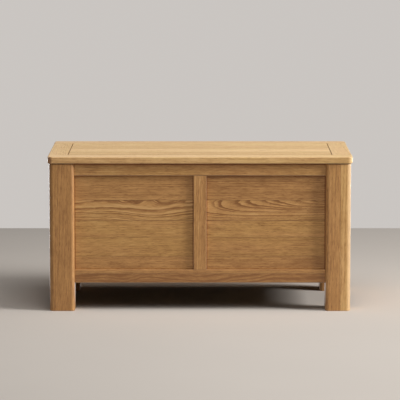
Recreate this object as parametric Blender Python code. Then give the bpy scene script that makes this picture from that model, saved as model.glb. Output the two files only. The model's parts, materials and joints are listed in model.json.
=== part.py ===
"""Oak blanket chest: a framed and panelled box on four square legs, with a framed lid on two hinges.

Metres, +X right, +Y back, +Z up. The origin is on the floor, in the middle of the footprint.
"""

import math

import bmesh
import bpy
from mathutils import Matrix, Vector

# Overall sizes.
LID_LENGTH = 0.900
LID_DEPTH = 0.450
CHEST_HEIGHT = 0.460
GROUND_CLEARANCE = 0.083

# The gap between any two pieces that touch, slide or are glued.
CLEARANCE = 0.0003

# The legs.
LEG_SIZE = 0.074
LEG_EDGE_RADIUS = 0.010
LEG_FOOT_CHAMFER = 0.002

# The rails, muntins and panels of the four frames between the legs.
TOP_RAIL_HEIGHT = 0.035
BOTTOM_RAIL_HEIGHT = 0.039
RAIL_THICKNESS = 0.022
RAIL_ARRIS = 0.002
FRONT_RAIL_SETBACK = 0.010
SIDE_RAIL_SETBACK = 0.010
BACK_RAIL_SETBACK = 0.0
MUNTIN_WIDTH = 0.038
PANEL_SETBACK = 0.009
PANEL_THICKNESS = 0.008
PANEL_GROOVE_DEPTH = 0.008
TENON_LENGTH = 0.030
TENON_THICKNESS = 0.010
TENON_WEB = 0.001

# The lid.
LID_THICKNESS = 0.020
LID_GAP = 0.002
LID_OVERHANG = 0.0045
LID_CORNER_RADIUS = 0.014
LID_ARRIS = 0.003
LID_FRAME_WIDTH = 0.0575
LID_SHADOW_GAP = 0.002
LID_TONGUE_THICKNESS = 0.006
LID_GROOVE_DEPTH = 0.008
LID_TENON_STOP = 0.014
LID_BOARD_COUNT = 4
BOARD_TONGUE_LENGTH = 0.006

# The floor.
FLOOR_THICKNESS = 0.012
FLOOR_DROP = 0.004
FLOOR_LONG_BOARDS = 3
CLEAT_SIZE = 0.020
CLEAT_ARRIS = 0.001
BEARER_WIDTH = 0.045

# The hinges. The inset is from a leg's inner face to the middle of the hinge.
HINGE_INSET = 0.1115
HINGE_LENGTH = 0.070
HINGE_KNUCKLES = 5
HINGE_LEAF_THICKNESS = 0.0016
HINGE_LEAF_WIDTH = 0.018
HINGE_LEAF_GAP = 0.0004
HINGE_BACK_GAP = 0.0005
KNUCKLE_RADIUS = 0.004
HINGE_PIN_RADIUS = 0.0022
HINGE_PIN_HEAD_RADIUS = 0.0032
HINGE_PIN_HEAD_LENGTH = 0.0015

# The gas struts. Both ends lie at the same reach from the hinge axis.
STRUT_REACH = 0.190
STRUT_TUBE_RADIUS = 0.0075
STRUT_TUBE_WALL = 0.0012
STRUT_END_WALL = 0.006
STRUT_GLAND_LENGTH = 0.009
STRUT_ROD_RADIUS = 0.004
STRUT_ROD_SHOWN = 0.006
STRUT_PISTON_LENGTH = 0.008
STRUT_PISTON_GAP = 0.002
STRUT_EYE_RADIUS = 0.0075
STRUT_EYE_WIDTH = 0.010
STRUT_NECK_LENGTH = 0.014
STRUT_NECK_RADIUS = 0.0045
STUD_RADIUS = 0.0035
STUD_HEAD_RADIUS = 0.0055
STUD_HEAD_LENGTH = 0.002
STUD_STANDOFF = 0.004
BRACKET_THICKNESS = 0.0025
BRACKET_WIDTH = 0.018
BRACKET_LENGTH = 0.046
BRACKET_DROP = 0.0135

# The rubber bumpers under the lid's front edge.
BUMPER_HEAD_RADIUS = 0.006
BUMPER_STEM_RADIUS = 0.003
BUMPER_STEM_LENGTH = 0.008

# Fineness of the round shapes.
EDGE_SEGMENTS = 6
ARRIS_SEGMENTS = 2
LID_ARRIS_SEGMENTS = 3
ROUND_SEGMENTS = 16

# Colour (linear), roughness and metallic value of each finish.
FINISHES = {
    "oak": ((0.47, 0.29, 0.13), 0.50, 0.0),
    "softwood": ((0.58, 0.43, 0.25), 0.62, 0.0),
    "brass": ((0.62, 0.44, 0.18), 0.34, 1.0),
    "black_paint": ((0.02, 0.02, 0.022), 0.40, 0.0),
    "chromed_steel": ((0.75, 0.75, 0.76), 0.12, 1.0),
    "zinc_steel": ((0.55, 0.56, 0.58), 0.38, 1.0),
    "rubber": ((0.03, 0.03, 0.03), 0.75, 0.0),
}

# Places that follow from the sizes above.
HINGE_PROUD = HINGE_BACK_GAP + 2 * KNUCKLE_RADIUS
LID_FRONT_Y = -(LID_DEPTH + HINGE_PROUD) / 2
BACK_Y = LID_FRONT_Y + LID_DEPTH
LID_HALF = LID_LENGTH / 2
LID_UNDER_Z = CHEST_HEIGHT - LID_THICKNESS
LEG_FRONT_Y = LID_FRONT_Y + LID_OVERHANG
LEG_OUTER_X = LID_HALF - LID_OVERHANG
LEG_INNER_X = LEG_OUTER_X - LEG_SIZE
SIDE_FRONT_Y = LEG_FRONT_Y + LEG_SIZE
SIDE_BACK_Y = BACK_Y - LEG_SIZE
CARCASS_TOP_Z = LID_UNDER_Z - LID_GAP
TOP_RAIL_Z = CARCASS_TOP_Z - TOP_RAIL_HEIGHT
BOTTOM_RAIL_TOP_Z = GROUND_CLEARANCE + BOTTOM_RAIL_HEIGHT
TENON_SHOULDER = PANEL_GROOVE_DEPTH + TENON_WEB
HINGE_Y = BACK_Y + HINGE_BACK_GAP + KNUCKLE_RADIUS
HINGE_Z = CARCASS_TOP_Z + LID_GAP / 2
HINGE_AXIS = Vector((0.0, HINGE_Y, HINGE_Z))

SETBACKS = {
    "front": FRONT_RAIL_SETBACK,
    "back": BACK_RAIL_SETBACK,
    "left": SIDE_RAIL_SETBACK,
    "right": SIDE_RAIL_SETBACK,
}
RAIL_LEVELS = {
    "bottom": (GROUND_CLEARANCE, BOTTOM_RAIL_TOP_Z),
    "top": (TOP_RAIL_Z, CARCASS_TOP_Z),
}
SIGNS = {"left": -1, "right": 1}


def clear_scene():
    for old in list(bpy.data.objects):
        bpy.data.objects.remove(old, do_unlink=True)


def finish_material(name, finish):
    """One Principled material for one piece, in the named finish."""
    colour, roughness, metallic = FINISHES[finish]
    material = bpy.data.materials.new(f"{name}_{finish}")
    material.use_nodes = True
    shader = material.node_tree.nodes["Principled BSDF"]
    shader.inputs["Base Color"].default_value = (*colour, 1.0)
    shader.inputs["Roughness"].default_value = roughness
    shader.inputs["Metallic"].default_value = metallic
    return material


def object_from(name, bm):
    mesh = bpy.data.meshes.new(name)
    bmesh.ops.recalc_face_normals(bm, faces=bm.faces)
    bm.to_mesh(mesh)
    bm.free()
    made = bpy.data.objects.new(name, mesh)
    bpy.context.collection.objects.link(made)
    return made


def piece(name, bm, finish, steps=(), pivot=None):
    """A finished piece: a mesh, then Boolean steps of (operation, mesh) in order, under its pivot."""
    made = object_from(name, bm)
    tools = []
    for operation, shape in steps:
        tool = object_from(f"{name}_tool", shape)
        tool.hide_render = True
        tool.display_type = "WIRE"
        boolean = made.modifiers.new(operation.lower(), "BOOLEAN")
        boolean.operation = operation
        boolean.solver = "EXACT"
        boolean.object = tool
        tools.append(tool)
    evaluated = made.evaluated_get(bpy.context.evaluated_depsgraph_get())
    made.data = bpy.data.meshes.new_from_object(evaluated)
    made.data.name = name
    made.modifiers.clear()
    for tool in tools:
        bpy.data.objects.remove(tool, do_unlink=True)
    made.data.materials.clear()
    made.data.materials.append(finish_material(name, finish))
    made.data.shade_smooth()
    made.data.set_sharp_from_angle(angle=math.radians(30))
    if pivot:
        made.parent = pivot
        made.matrix_parent_inverse = Matrix.Translation(pivot.location).inverted()
    return made


def pivot_at(name, point):
    """An empty on a joint's axis, which carries the pieces that turn there."""
    empty = bpy.data.objects.new(name, None)
    empty.location = point
    empty.empty_display_size = 0.02
    bpy.context.collection.objects.link(empty)
    return empty


def box(low, high):
    bm = bmesh.new()
    bmesh.ops.create_cube(bm, size=1.0)
    low = Vector(low)
    span = Vector(high) - low
    for vert in bm.verts:
        vert.co = Vector(low[i] + (vert.co[i] + 0.5) * span[i] for i in range(3))
    return bm


def edges_along(bm, axis):
    """The straight edges that run along one axis: 0 for X, 1 for Y, 2 for Z."""
    def runs(edge):
        span = edge.verts[1].co - edge.verts[0].co
        return abs(span[axis]) > 0.999 * span.length
    return [edge for edge in bm.edges if runs(edge)]


def round_edges(bm, edges, radius, segments):
    bmesh.ops.bevel(
        bm, geom=edges, offset=radius, segments=segments, profile=0.5, affect="EDGES",
        offset_type="OFFSET", clamp_overlap=True,
    )
    return bm


def bar(low, high, axis, arris):
    """A timber with its four long edges eased."""
    bm = box(low, high)
    return round_edges(bm, edges_along(bm, axis), arris, ARRIS_SEGMENTS)


def rod_along_x(centre, radius, length):
    """A round rod along X, about its own middle."""
    bm = bmesh.new()
    turn = Matrix.Translation(centre) @ Matrix.Rotation(math.pi / 2, 4, "Y")
    bmesh.ops.create_cone(
        bm, cap_ends=True, segments=ROUND_SEGMENTS, radius1=radius, radius2=radius, depth=length, matrix=turn,
    )
    return bm


def turned(profile, place):
    """A turned solid: (height, radius) points from the axis back to the axis, spun round Z and placed."""
    bm = bmesh.new()
    rings = []
    for height, radius in profile:
        if radius == 0.0:
            rings.append([bm.verts.new((0.0, 0.0, height))])
            continue
        angles = [2 * math.pi * k / ROUND_SEGMENTS for k in range(ROUND_SEGMENTS)]
        rings.append([bm.verts.new((radius * math.cos(a), radius * math.sin(a), height)) for a in angles])
    for first, second in zip(rings, rings[1:]):
        for k in range(ROUND_SEGMENTS):
            nxt = (k + 1) % ROUND_SEGMENTS
            corners = [first[k % len(first)], first[nxt % len(first)]]
            corners += [second[nxt % len(second)], second[k % len(second)]]
            bm.faces.new(list(dict.fromkeys(corners)))
    bmesh.ops.transform(bm, matrix=place, verts=bm.verts)
    return bm


def frame_box(side, along, depth, height, shape=box, **options):
    """A box in one side's frame: along the side, in from the legs' outer face, and up from the floor."""
    a0, a1 = along
    d0, d1 = depth
    z0, z1 = height
    if side == "front":
        low, high = (a0, LEG_FRONT_Y + d0, z0), (a1, LEG_FRONT_Y + d1, z1)
    elif side == "back":
        low, high = (a0, BACK_Y - d1, z0), (a1, BACK_Y - d0, z1)
    elif side == "left":
        low, high = (-LEG_OUTER_X + d0, a0, z0), (-LEG_OUTER_X + d1, a1, z1)
    else:
        low, high = (LEG_OUTER_X - d1, a0, z0), (LEG_OUTER_X - d0, a1, z1)
    return shape(low, high, **options)


def side_span(side):
    """Where a side's frame starts and ends, between its two legs."""
    if side in ("front", "back"):
        return -LEG_INNER_X, LEG_INNER_X
    return SIDE_FRONT_Y, SIDE_BACK_Y


def side_axis(side):
    return 0 if side in ("front", "back") else 1


def grown(span, amount):
    return span[0] - amount, span[1] + amount


def rail_depth(side):
    return SETBACKS[side], SETBACKS[side] + RAIL_THICKNESS


def panel_depth(side):
    front = SETBACKS[side] + PANEL_SETBACK
    return front, front + PANEL_THICKNESS


def tenon_depth(side):
    middle = sum(rail_depth(side)) / 2
    return middle - TENON_THICKNESS / 2, middle + TENON_THICKNESS / 2


def tenon_height(level):
    return grown(RAIL_LEVELS[level], -TENON_SHOULDER)


def panel_height():
    return grown((BOTTOM_RAIL_TOP_Z, TOP_RAIL_Z), PANEL_GROOVE_DEPTH - CLEARANCE)


def hinge_span(hand):
    middle = SIGNS[hand] * (LEG_INNER_X - HINGE_INSET)
    return middle - HINGE_LENGTH / 2, middle + HINGE_LENGTH / 2


def leaf_height(part):
    """The fixed leaf lies just under the hinge axis, the moving leaf just above it."""
    near = HINGE_LEAF_GAP / 2
    far = near + HINGE_LEAF_THICKNESS
    return (HINGE_Z - far, HINGE_Z - near) if part == "fixed" else (HINGE_Z + near, HINGE_Z + far)


def leaf_pockets(part):
    """The shallow pockets that let a hinge leaf into the timber, open at the back."""
    z0, z1 = leaf_height(part)
    for hand in SIGNS:
        x0, x1 = grown(hinge_span(hand), CLEARANCE)
        reach_z = (z0 - CLEARANCE, HINGE_Z) if part == "fixed" else (HINGE_Z, z1 + CLEARANCE)
        low = (x0, BACK_Y - HINGE_LEAF_WIDTH - CLEARANCE, reach_z[0])
        yield "DIFFERENCE", box(low, (x1, HINGE_Y, reach_z[1]))


def strut_points():
    """The strut's two pivots at rest, in Y and Z: its foot on the back leg and its head under the lid."""
    bare_strip_y = BACK_Y - (rail_depth("back")[1] + LEG_SIZE) / 2
    foot_dy = HINGE_Y - bare_strip_y
    foot_dz = math.sqrt(STRUT_REACH**2 - foot_dy**2)
    head_dz = HINGE_Z - LID_UNDER_Z + BRACKET_DROP
    head_dy = math.sqrt(STRUT_REACH**2 - head_dz**2)
    foot = Vector((0.0, HINGE_Y - foot_dy, HINGE_Z - foot_dz))
    head = Vector((0.0, HINGE_Y - head_dy, HINGE_Z - head_dz))
    return foot, head


def strut_plane_x():
    """How far out the strut's eyes run, beside the legs' inner faces."""
    return LEG_INNER_X - CLEARANCE - BRACKET_THICKNESS - STUD_STANDOFF - STRUT_EYE_WIDTH / 2


def make_leg(front_or_back, hand):
    sign = SIGNS[hand]
    x0, x1 = sorted((sign * LEG_INNER_X, sign * LEG_OUTER_X))
    y0 = LEG_FRONT_Y if front_or_back == "front" else SIDE_BACK_Y
    y1 = y0 + LEG_SIZE
    bm = box((x0, y0, 0.0), (x1, y1, CARCASS_TOP_Z))

    def meets_flush_rail(edge):
        spot = edge.verts[0].co
        flush = BACK_RAIL_SETBACK < LEG_EDGE_RADIUS and front_or_back == "back"
        return flush and abs(spot.x) < LEG_INNER_X + LEG_SIZE / 2 and spot.y > y0 + LEG_SIZE / 2

    free_edges = [edge for edge in edges_along(bm, 2) if not meets_flush_rail(edge)]
    round_edges(bm, free_edges, LEG_EDGE_RADIUS, EDGE_SEGMENTS)
    foot = [edge for edge in bm.edges if all(vert.co.z == 0.0 for vert in edge.verts)]
    round_edges(bm, foot, LEG_FOOT_CHAMFER, 1)

    steps = []
    for side in (front_or_back, hand):
        near, far = side_span(side)
        at_near_end = hand == "left" if side == front_or_back else front_or_back == "front"
        inner_face, inward = (near, 1) if at_near_end else (far, -1)
        outside = inner_face + inward * LEG_EDGE_RADIUS
        mortise = sorted((outside, inner_face - inward * (TENON_LENGTH + CLEARANCE)))
        groove = sorted((outside, inner_face - inward * PANEL_GROOVE_DEPTH))
        for level in RAIL_LEVELS:
            hole = grown(tenon_depth(side), CLEARANCE), grown(tenon_height(level), CLEARANCE)
            steps.append(("DIFFERENCE", frame_box(side, mortise, *hole)))
        run = sum(tenon_height("bottom")) / 2, sum(tenon_height("top")) / 2
        steps.append(("DIFFERENCE", frame_box(side, groove, grown(panel_depth(side), CLEARANCE), run)))
    if front_or_back == "front":
        steps.append(("DIFFERENCE", bumper_shape(hand, CLEARANCE)))
    piece(f"leg_{front_or_back}_{hand}", bm, "oak", steps)


def make_rail(side, level):
    z0, z1 = RAIL_LEVELS[level]
    span = side_span(side)
    body = frame_box(
        side, grown(span, -CLEARANCE), rail_depth(side), (z0, z1), bar,
        axis=side_axis(side), arris=RAIL_ARRIS,
    )
    tenons = frame_box(side, grown(span, TENON_LENGTH), tenon_depth(side), tenon_height(level))
    if level == "bottom":
        groove = z1 - PANEL_GROOVE_DEPTH, z1 + RAIL_ARRIS
    else:
        groove = z0 - RAIL_ARRIS, z0 + PANEL_GROOVE_DEPTH
    steps = [
        ("UNION", tenons),
        ("DIFFERENCE", frame_box(side, grown(span, RAIL_ARRIS), grown(panel_depth(side), CLEARANCE), groove)),
    ]
    if side == "back" and level == "top":
        steps += leaf_pockets("fixed")
    piece(f"{side}_{level}_rail", body, "oak", steps)


def make_muntin(side):
    half = MUNTIN_WIDTH / 2
    span = BOTTOM_RAIL_TOP_Z, TOP_RAIL_Z
    body = frame_box(
        side, (-half, half), rail_depth(side), grown(span, -CLEARANCE), bar, axis=2, arris=RAIL_ARRIS,
    )
    stub_half = half - PANEL_GROOVE_DEPTH - CLEARANCE
    stubs = frame_box(side, (-stub_half, stub_half), panel_depth(side), panel_height())
    steps = [("UNION", stubs)]
    for edge in (-half, half):
        inward = math.copysign(PANEL_GROOVE_DEPTH, -edge)
        groove = sorted((edge + inward, edge - inward))
        cut = frame_box(side, groove, grown(panel_depth(side), CLEARANCE), grown(span, PANEL_GROOVE_DEPTH))
        steps.append(("DIFFERENCE", cut))
    piece(f"{side}_muntin", body, "oak", steps)


def make_panels(side):
    near, far = grown(side_span(side), PANEL_GROOVE_DEPTH - CLEARANCE)
    if side in ("front", "back"):
        middle = MUNTIN_WIDTH / 2 - PANEL_GROOVE_DEPTH + CLEARANCE
        spans = {f"{side}_panel_left": (near, -middle), f"{side}_panel_right": (middle, far)}
    else:
        spans = {f"{side}_panel": (near, far)}
    for name, span in spans.items():
        piece(name, frame_box(side, span, panel_depth(side), panel_height()), "oak")


def make_floor():
    top = BOTTOM_RAIL_TOP_Z - FLOOR_DROP
    board_z = top - FLOOR_THICKNESS, top
    cleat_top = board_z[0] - CLEARANCE
    cleat_z = cleat_top - CLEAT_SIZE, cleat_top
    front_in = LEG_FRONT_Y + rail_depth("front")[1] + CLEARANCE
    back_in = BACK_Y - rail_depth("back")[1] - CLEARANCE
    side_in = LEG_OUTER_X - rail_depth("left")[1] - CLEARANCE
    short_half = LEG_INNER_X - CLEARANCE

    cleats = {
        "floor_cleat_front": ((-short_half, front_in), (short_half, front_in + CLEAT_SIZE), 0),
        "floor_cleat_back": ((-short_half, back_in - CLEAT_SIZE), (short_half, back_in), 0),
        "floor_cleat_left": (
            (-side_in, SIDE_FRONT_Y + CLEARANCE), (-side_in + CLEAT_SIZE, SIDE_BACK_Y - CLEARANCE), 1,
        ),
        "floor_cleat_right": (
            (side_in - CLEAT_SIZE, SIDE_FRONT_Y + CLEARANCE), (side_in, SIDE_BACK_Y - CLEARANCE), 1,
        ),
        "floor_bearer": (
            (-BEARER_WIDTH / 2, front_in + CLEAT_SIZE + CLEARANCE),
            (BEARER_WIDTH / 2, back_in - CLEAT_SIZE - CLEARANCE), 1,
        ),
    }
    for name, (low, high, axis) in cleats.items():
        piece(name, bar((*low, cleat_z[0]), (*high, cleat_z[1]), axis, CLEAT_ARRIS), "softwood")

    width = (SIDE_BACK_Y - SIDE_FRONT_Y) / FLOOR_LONG_BOARDS
    rows = [(front_in, SIDE_FRONT_Y, short_half)]
    for k in range(FLOOR_LONG_BOARDS):
        rows.append((SIDE_FRONT_Y + k * width, SIDE_FRONT_Y + (k + 1) * width, side_in))
    rows.append((SIDE_BACK_Y, back_in, short_half))
    for number, (y0, y1, half) in enumerate(rows, 1):
        low = (-half, y0 + CLEARANCE / 2, board_z[0])
        high = (half, y1 - CLEARANCE / 2, board_z[1])
        piece(f"floor_board_{number}", bar(low, high, 0, CLEAT_ARRIS), "softwood")


def lid_blank():
    """The whole lid as one slab with rounded corners and eased edges, which the frame is sawn from."""
    bm = box((-LID_HALF, LID_FRONT_Y, LID_UNDER_Z), (LID_HALF, BACK_Y, CHEST_HEIGHT))
    round_edges(bm, edges_along(bm, 2), LID_CORNER_RADIUS, EDGE_SEGMENTS)
    upright = set(edges_along(bm, 2))
    return round_edges(bm, [edge for edge in bm.edges if edge not in upright], LID_ARRIS, LID_ARRIS_SEGMENTS)


def lid_tongue_height(extra=0.0):
    middle = LID_UNDER_Z + LID_THICKNESS / 2
    return middle - LID_TONGUE_THICKNESS / 2 - extra, middle + LID_TONGUE_THICKNESS / 2 + extra


def level_box(x_span, y_span, z_span):
    return box(*zip(x_span, y_span, z_span))


def make_lid_frame(pivot):
    past = LID_FRAME_WIDTH
    slot_z = lid_tongue_height(CLEARANCE)
    slab_z = grown((LID_UNDER_Z, CHEST_HEIGHT), past)
    field_y = LID_FRONT_Y + LID_FRAME_WIDTH, BACK_Y - LID_FRAME_WIDTH
    field_half = LID_HALF - LID_FRAME_WIDTH

    for name, edge, inward in (("lid_front_rail", field_y[0], 1), ("lid_back_rail", field_y[1], -1)):
        keep = sorted((edge, edge - inward * (LID_FRAME_WIDTH + past)))
        slot = sorted((edge + inward * past, edge - inward * LID_GROOVE_DEPTH))
        slot_half = LID_HALF - LID_TENON_STOP
        steps = [
            ("INTERSECT", level_box((-LID_HALF - past, LID_HALF + past), keep, slab_z)),
            ("DIFFERENCE", level_box((-slot_half, slot_half), slot, slot_z)),
        ]
        if name == "lid_back_rail":
            steps += leaf_pockets("moving")
        piece(name, lid_blank(), "oak", steps, pivot)

    for hand, sign in SIGNS.items():
        keep = sorted((sign * field_half, sign * (LID_HALF + past)))
        tenon = sorted((
            sign * (field_half + LID_GROOVE_DEPTH + CLEARANCE),
            sign * (LID_HALF - LID_TENON_STOP - CLEARANCE),
        ))
        slot = sorted((sign * (field_half - past), sign * (field_half + LID_GROOVE_DEPTH)))
        tenon_y = grown(field_y, LID_GROOVE_DEPTH - CLEARANCE)
        steps = [
            ("INTERSECT", level_box(keep, grown(field_y, -CLEARANCE), slab_z)),
            ("UNION", level_box(tenon, tenon_y, lid_tongue_height())),
            ("DIFFERENCE", level_box(slot, grown(tenon_y, past), slot_z)),
        ]
        piece(f"lid_{hand}_end", lid_blank(), "oak", steps, pivot)


def make_lid_boards(pivot):
    field_half = LID_HALF - LID_FRAME_WIDTH
    board_half = field_half - LID_SHADOW_GAP
    tongue_half = field_half + LID_GROOVE_DEPTH - CLEARANCE
    frame_tongue = LID_SHADOW_GAP + LID_GROOVE_DEPTH - CLEARANCE
    y_start = LID_FRONT_Y + LID_FRAME_WIDTH + LID_SHADOW_GAP
    y_end = BACK_Y - LID_FRAME_WIDTH - LID_SHADOW_GAP
    pitch = (y_end - y_start) / LID_BOARD_COUNT
    for number in range(1, LID_BOARD_COUNT + 1):
        first, last = number == 1, number == LID_BOARD_COUNT
        y0 = y_start + (number - 1) * pitch + (0.0 if first else CLEARANCE / 2)
        y1 = y_start + number * pitch - (0.0 if last else CLEARANCE / 2)
        body = level_box((-board_half, board_half), (y0, y1), (LID_UNDER_Z, CHEST_HEIGHT))
        tongue_y0 = y0 - (frame_tongue if first else BOARD_TONGUE_LENGTH)
        tongue_y1 = y1 + frame_tongue if last else y1 - BOARD_TONGUE_LENGTH - 3 * CLEARANCE
        steps = [
            ("UNION", level_box((-tongue_half, tongue_half), (tongue_y0, tongue_y1), lid_tongue_height())),
        ]
        if not last:
            slot = y1 - BOARD_TONGUE_LENGTH - CLEARANCE, y1 + BOARD_TONGUE_LENGTH
            slot_x = grown((-tongue_half, tongue_half), LID_GROOVE_DEPTH)
            steps.append(("DIFFERENCE", level_box(slot_x, slot, lid_tongue_height(CLEARANCE))))
        piece(f"lid_board_{number}", body, "oak", steps, pivot)


def make_hinge(hand, pivot):
    x0, x1 = hinge_span(hand)
    pitch = HINGE_LENGTH / HINGE_KNUCKLES
    wall_y = HINGE_Y - (KNUCKLE_RADIUS + HINGE_PIN_RADIUS + CLEARANCE) / 2
    for part, first, carrier in (("fixed", 0, None), ("moving", 1, pivot)):
        height = leaf_height(part)
        leaf = level_box((x0, x1), (BACK_Y - HINGE_LEAF_WIDTH, BACK_Y - CLEARANCE), height)
        steps = []
        for k in range(first, HINGE_KNUCKLES, 2):
            span = grown((x0 + k * pitch, x0 + (k + 1) * pitch), -CLEARANCE / 2)
            tab_y = BACK_Y - HINGE_LEAF_WIDTH / 2, wall_y
            tab = level_box(grown(span, -CLEARANCE), tab_y, grown(height, -CLEARANCE))
            knuckle = rod_along_x((sum(span) / 2, HINGE_Y, HINGE_Z), KNUCKLE_RADIUS, span[1] - span[0])
            steps += [("UNION", tab), ("UNION", knuckle)]
        bore_radius = HINGE_PIN_RADIUS + CLEARANCE
        bore = rod_along_x(((x0 + x1) / 2, HINGE_Y, HINGE_Z), bore_radius, HINGE_LENGTH + 2 * KNUCKLE_RADIUS)
        steps.append(("DIFFERENCE", bore))
        piece(f"hinge_{hand}_{part}_leaf", leaf, "brass", steps, carrier)

    neck = HINGE_LENGTH / 2 + CLEARANCE
    tip = neck + HINGE_PIN_HEAD_LENGTH
    half = [(neck, HINGE_PIN_RADIUS), (neck, HINGE_PIN_HEAD_RADIUS), (tip, HINGE_PIN_RADIUS), (tip, 0.0)]
    profile = [(-z, r) for z, r in reversed(half)] + half
    turn = Matrix.Translation(((x0 + x1) / 2, HINGE_Y, HINGE_Z)) @ Matrix.Rotation(math.pi / 2, 4, "Y")
    piece(f"hinge_{hand}_pin", turned(profile, turn), "brass")


def eye_steps(centre):
    """A strut's end fitting: a round eye about X on the end of the neck, bored for the stud."""
    return [
        ("UNION", rod_along_x(centre, STRUT_EYE_RADIUS, STRUT_EYE_WIDTH)),
        ("DIFFERENCE", rod_along_x(centre, STUD_RADIUS + CLEARANCE, 2 * STRUT_EYE_WIDTH)),
    ]


def make_strut(hand, lid_pivot):
    """A gas strut: the rod turns on the back leg, the tube on the lid, and the rod runs in the tube."""
    sign = SIGNS[hand]
    foot, head = strut_points()
    foot.x = head.x = sign * strut_plane_x()
    closed_length = (head - foot).length
    tube_length = closed_length - 2 * STRUT_NECK_LENGTH - STRUT_ROD_SHOWN
    lean = math.atan2(head.y - foot.y, head.z - foot.z)
    upward = Matrix.Translation(foot) @ Matrix.Rotation(-lean, 4, "X")
    downward = Matrix.Translation(head) @ Matrix.Rotation(math.pi - lean, 4, "X")

    bore = STRUT_TUBE_RADIUS - STRUT_TUBE_WALL
    mouth = STRUT_NECK_LENGTH + tube_length
    gland = STRUT_ROD_RADIUS + CLEARANCE
    shoulder = STRUT_TUBE_WALL
    neck = [(0.0, 0.0), (0.0, STRUT_NECK_RADIUS), (STRUT_NECK_LENGTH, STRUT_NECK_RADIUS)]
    tube = neck + [
        (STRUT_NECK_LENGTH, STRUT_TUBE_RADIUS - shoulder),
        (STRUT_NECK_LENGTH + shoulder, STRUT_TUBE_RADIUS),
        (mouth - shoulder, STRUT_TUBE_RADIUS),
        (mouth, STRUT_TUBE_RADIUS - shoulder),
        (mouth, gland),
        (mouth - STRUT_GLAND_LENGTH, gland),
        (mouth - STRUT_GLAND_LENGTH, bore),
        (STRUT_NECK_LENGTH + STRUT_END_WALL, bore),
        (STRUT_NECK_LENGTH + STRUT_END_WALL, 0.0),
    ]
    piston = bore - CLEARANCE
    rod_end = closed_length - STRUT_NECK_LENGTH - STRUT_END_WALL - STRUT_PISTON_GAP
    rod = neck + [
        (STRUT_NECK_LENGTH, STRUT_ROD_RADIUS),
        (rod_end - STRUT_PISTON_LENGTH, STRUT_ROD_RADIUS),
        (rod_end - STRUT_PISTON_LENGTH, piston),
        (rod_end, piston),
        (rod_end, 0.0),
    ]
    foot_pivot = pivot_at(f"strut_{hand}_foot_pivot", foot)
    head_pivot = pivot_at(f"strut_{hand}_head_pivot", head)
    piece(f"strut_{hand}_rod", turned(rod, upward), "chromed_steel", eye_steps(foot), foot_pivot)
    piece(f"strut_{hand}_tube", turned(tube, downward), "black_paint", eye_steps(head), head_pivot)
    make_brackets(hand, foot, head, lid_pivot)


def stud_steps(hand, centre, plate_x):
    """A headed stud from a bracket's plate through the strut's eye."""
    sign = SIGNS[hand]
    cap = centre.x - sign * (STRUT_EYE_WIDTH / 2 + CLEARANCE)
    tip = cap - sign * STUD_HEAD_LENGTH
    root = plate_x + sign * BRACKET_THICKNESS / 2
    stem_length = abs(root - cap) + STUD_HEAD_LENGTH
    stem = rod_along_x(((root + cap) / 2, centre.y, centre.z), STUD_RADIUS, stem_length)
    head = rod_along_x(((cap + tip) / 2, centre.y, centre.z), STUD_HEAD_RADIUS, STUD_HEAD_LENGTH)
    collar_end = centre.x + sign * (STRUT_EYE_WIDTH / 2 + CLEARANCE)
    collar = rod_along_x(
        ((root + collar_end) / 2, centre.y, centre.z), STUD_HEAD_RADIUS, abs(root - collar_end),
    )
    return [("UNION", collar), ("UNION", stem), ("UNION", head)]


def make_brackets(hand, foot, head, lid_pivot):
    sign = SIGNS[hand]
    outer = LEG_INNER_X - CLEARANCE
    inner = outer - BRACKET_THICKNESS
    plate_x = sorted((sign * outer, sign * inner))
    half_width, half_length = BRACKET_WIDTH / 2, BRACKET_LENGTH / 2

    lower = level_box(plate_x, grown((foot.y, foot.y), half_width), grown((foot.z, foot.z), half_length))
    round_edges(lower, edges_along(lower, 0), half_width / 2, EDGE_SEGMENTS)
    piece(f"strut_{hand}_lower_bracket", lower, "zinc_steel", stud_steps(hand, foot, sign * inner))

    top = LID_UNDER_Z - CLEARANCE
    flange = level_box(plate_x, grown((head.y, head.y), half_width), (head.z - half_width, top))
    low_edges = [e for e in edges_along(flange, 0) if e.verts[0].co.z < head.z]
    round_edges(flange, low_edges, half_width / 2, EDGE_SEGMENTS)
    base_x = sorted((sign * (inner + BRACKET_THICKNESS / 2), sign * (outer - BRACKET_WIDTH)))
    base = level_box(base_x, grown((head.y, head.y), half_length), (top - BRACKET_THICKNESS, top))
    upright = edges_along(base, 2)
    free = [e for e in upright if abs(e.verts[0].co.x) < outer - BRACKET_WIDTH / 2]
    round_edges(base, free, half_width / 2, EDGE_SEGMENTS)
    steps = [("UNION", flange)] + stud_steps(hand, head, sign * inner)
    piece(f"strut_{hand}_upper_bracket", base, "zinc_steel", steps, lid_pivot)


def bumper_shape(hand, extra=0.0):
    """A push-in bumper, or with extra its drilled hole, in the middle of a front leg's top."""
    x = SIGNS[hand] * (LEG_INNER_X + LEG_OUTER_X) / 2
    place = Matrix.Translation((x, LEG_FRONT_Y + LEG_SIZE / 2, CARCASS_TOP_Z))
    foot = -BUMPER_STEM_LENGTH - extra
    stem = BUMPER_STEM_RADIUS + extra
    if extra:
        above = BUMPER_STEM_LENGTH
        return turned([(foot, 0.0), (foot, stem), (above, stem), (above, 0.0)], place)
    low, high = CLEARANCE, LID_GAP - CLEARANCE
    rim = BUMPER_HEAD_RADIUS - (high - low) / 2
    profile = [(foot, 0.0), (foot, stem), (low, stem), (low, BUMPER_HEAD_RADIUS)]
    profile += [((low + high) / 2, BUMPER_HEAD_RADIUS), (high, rim), (high, 0.0)]
    return turned(profile, place)


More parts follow.
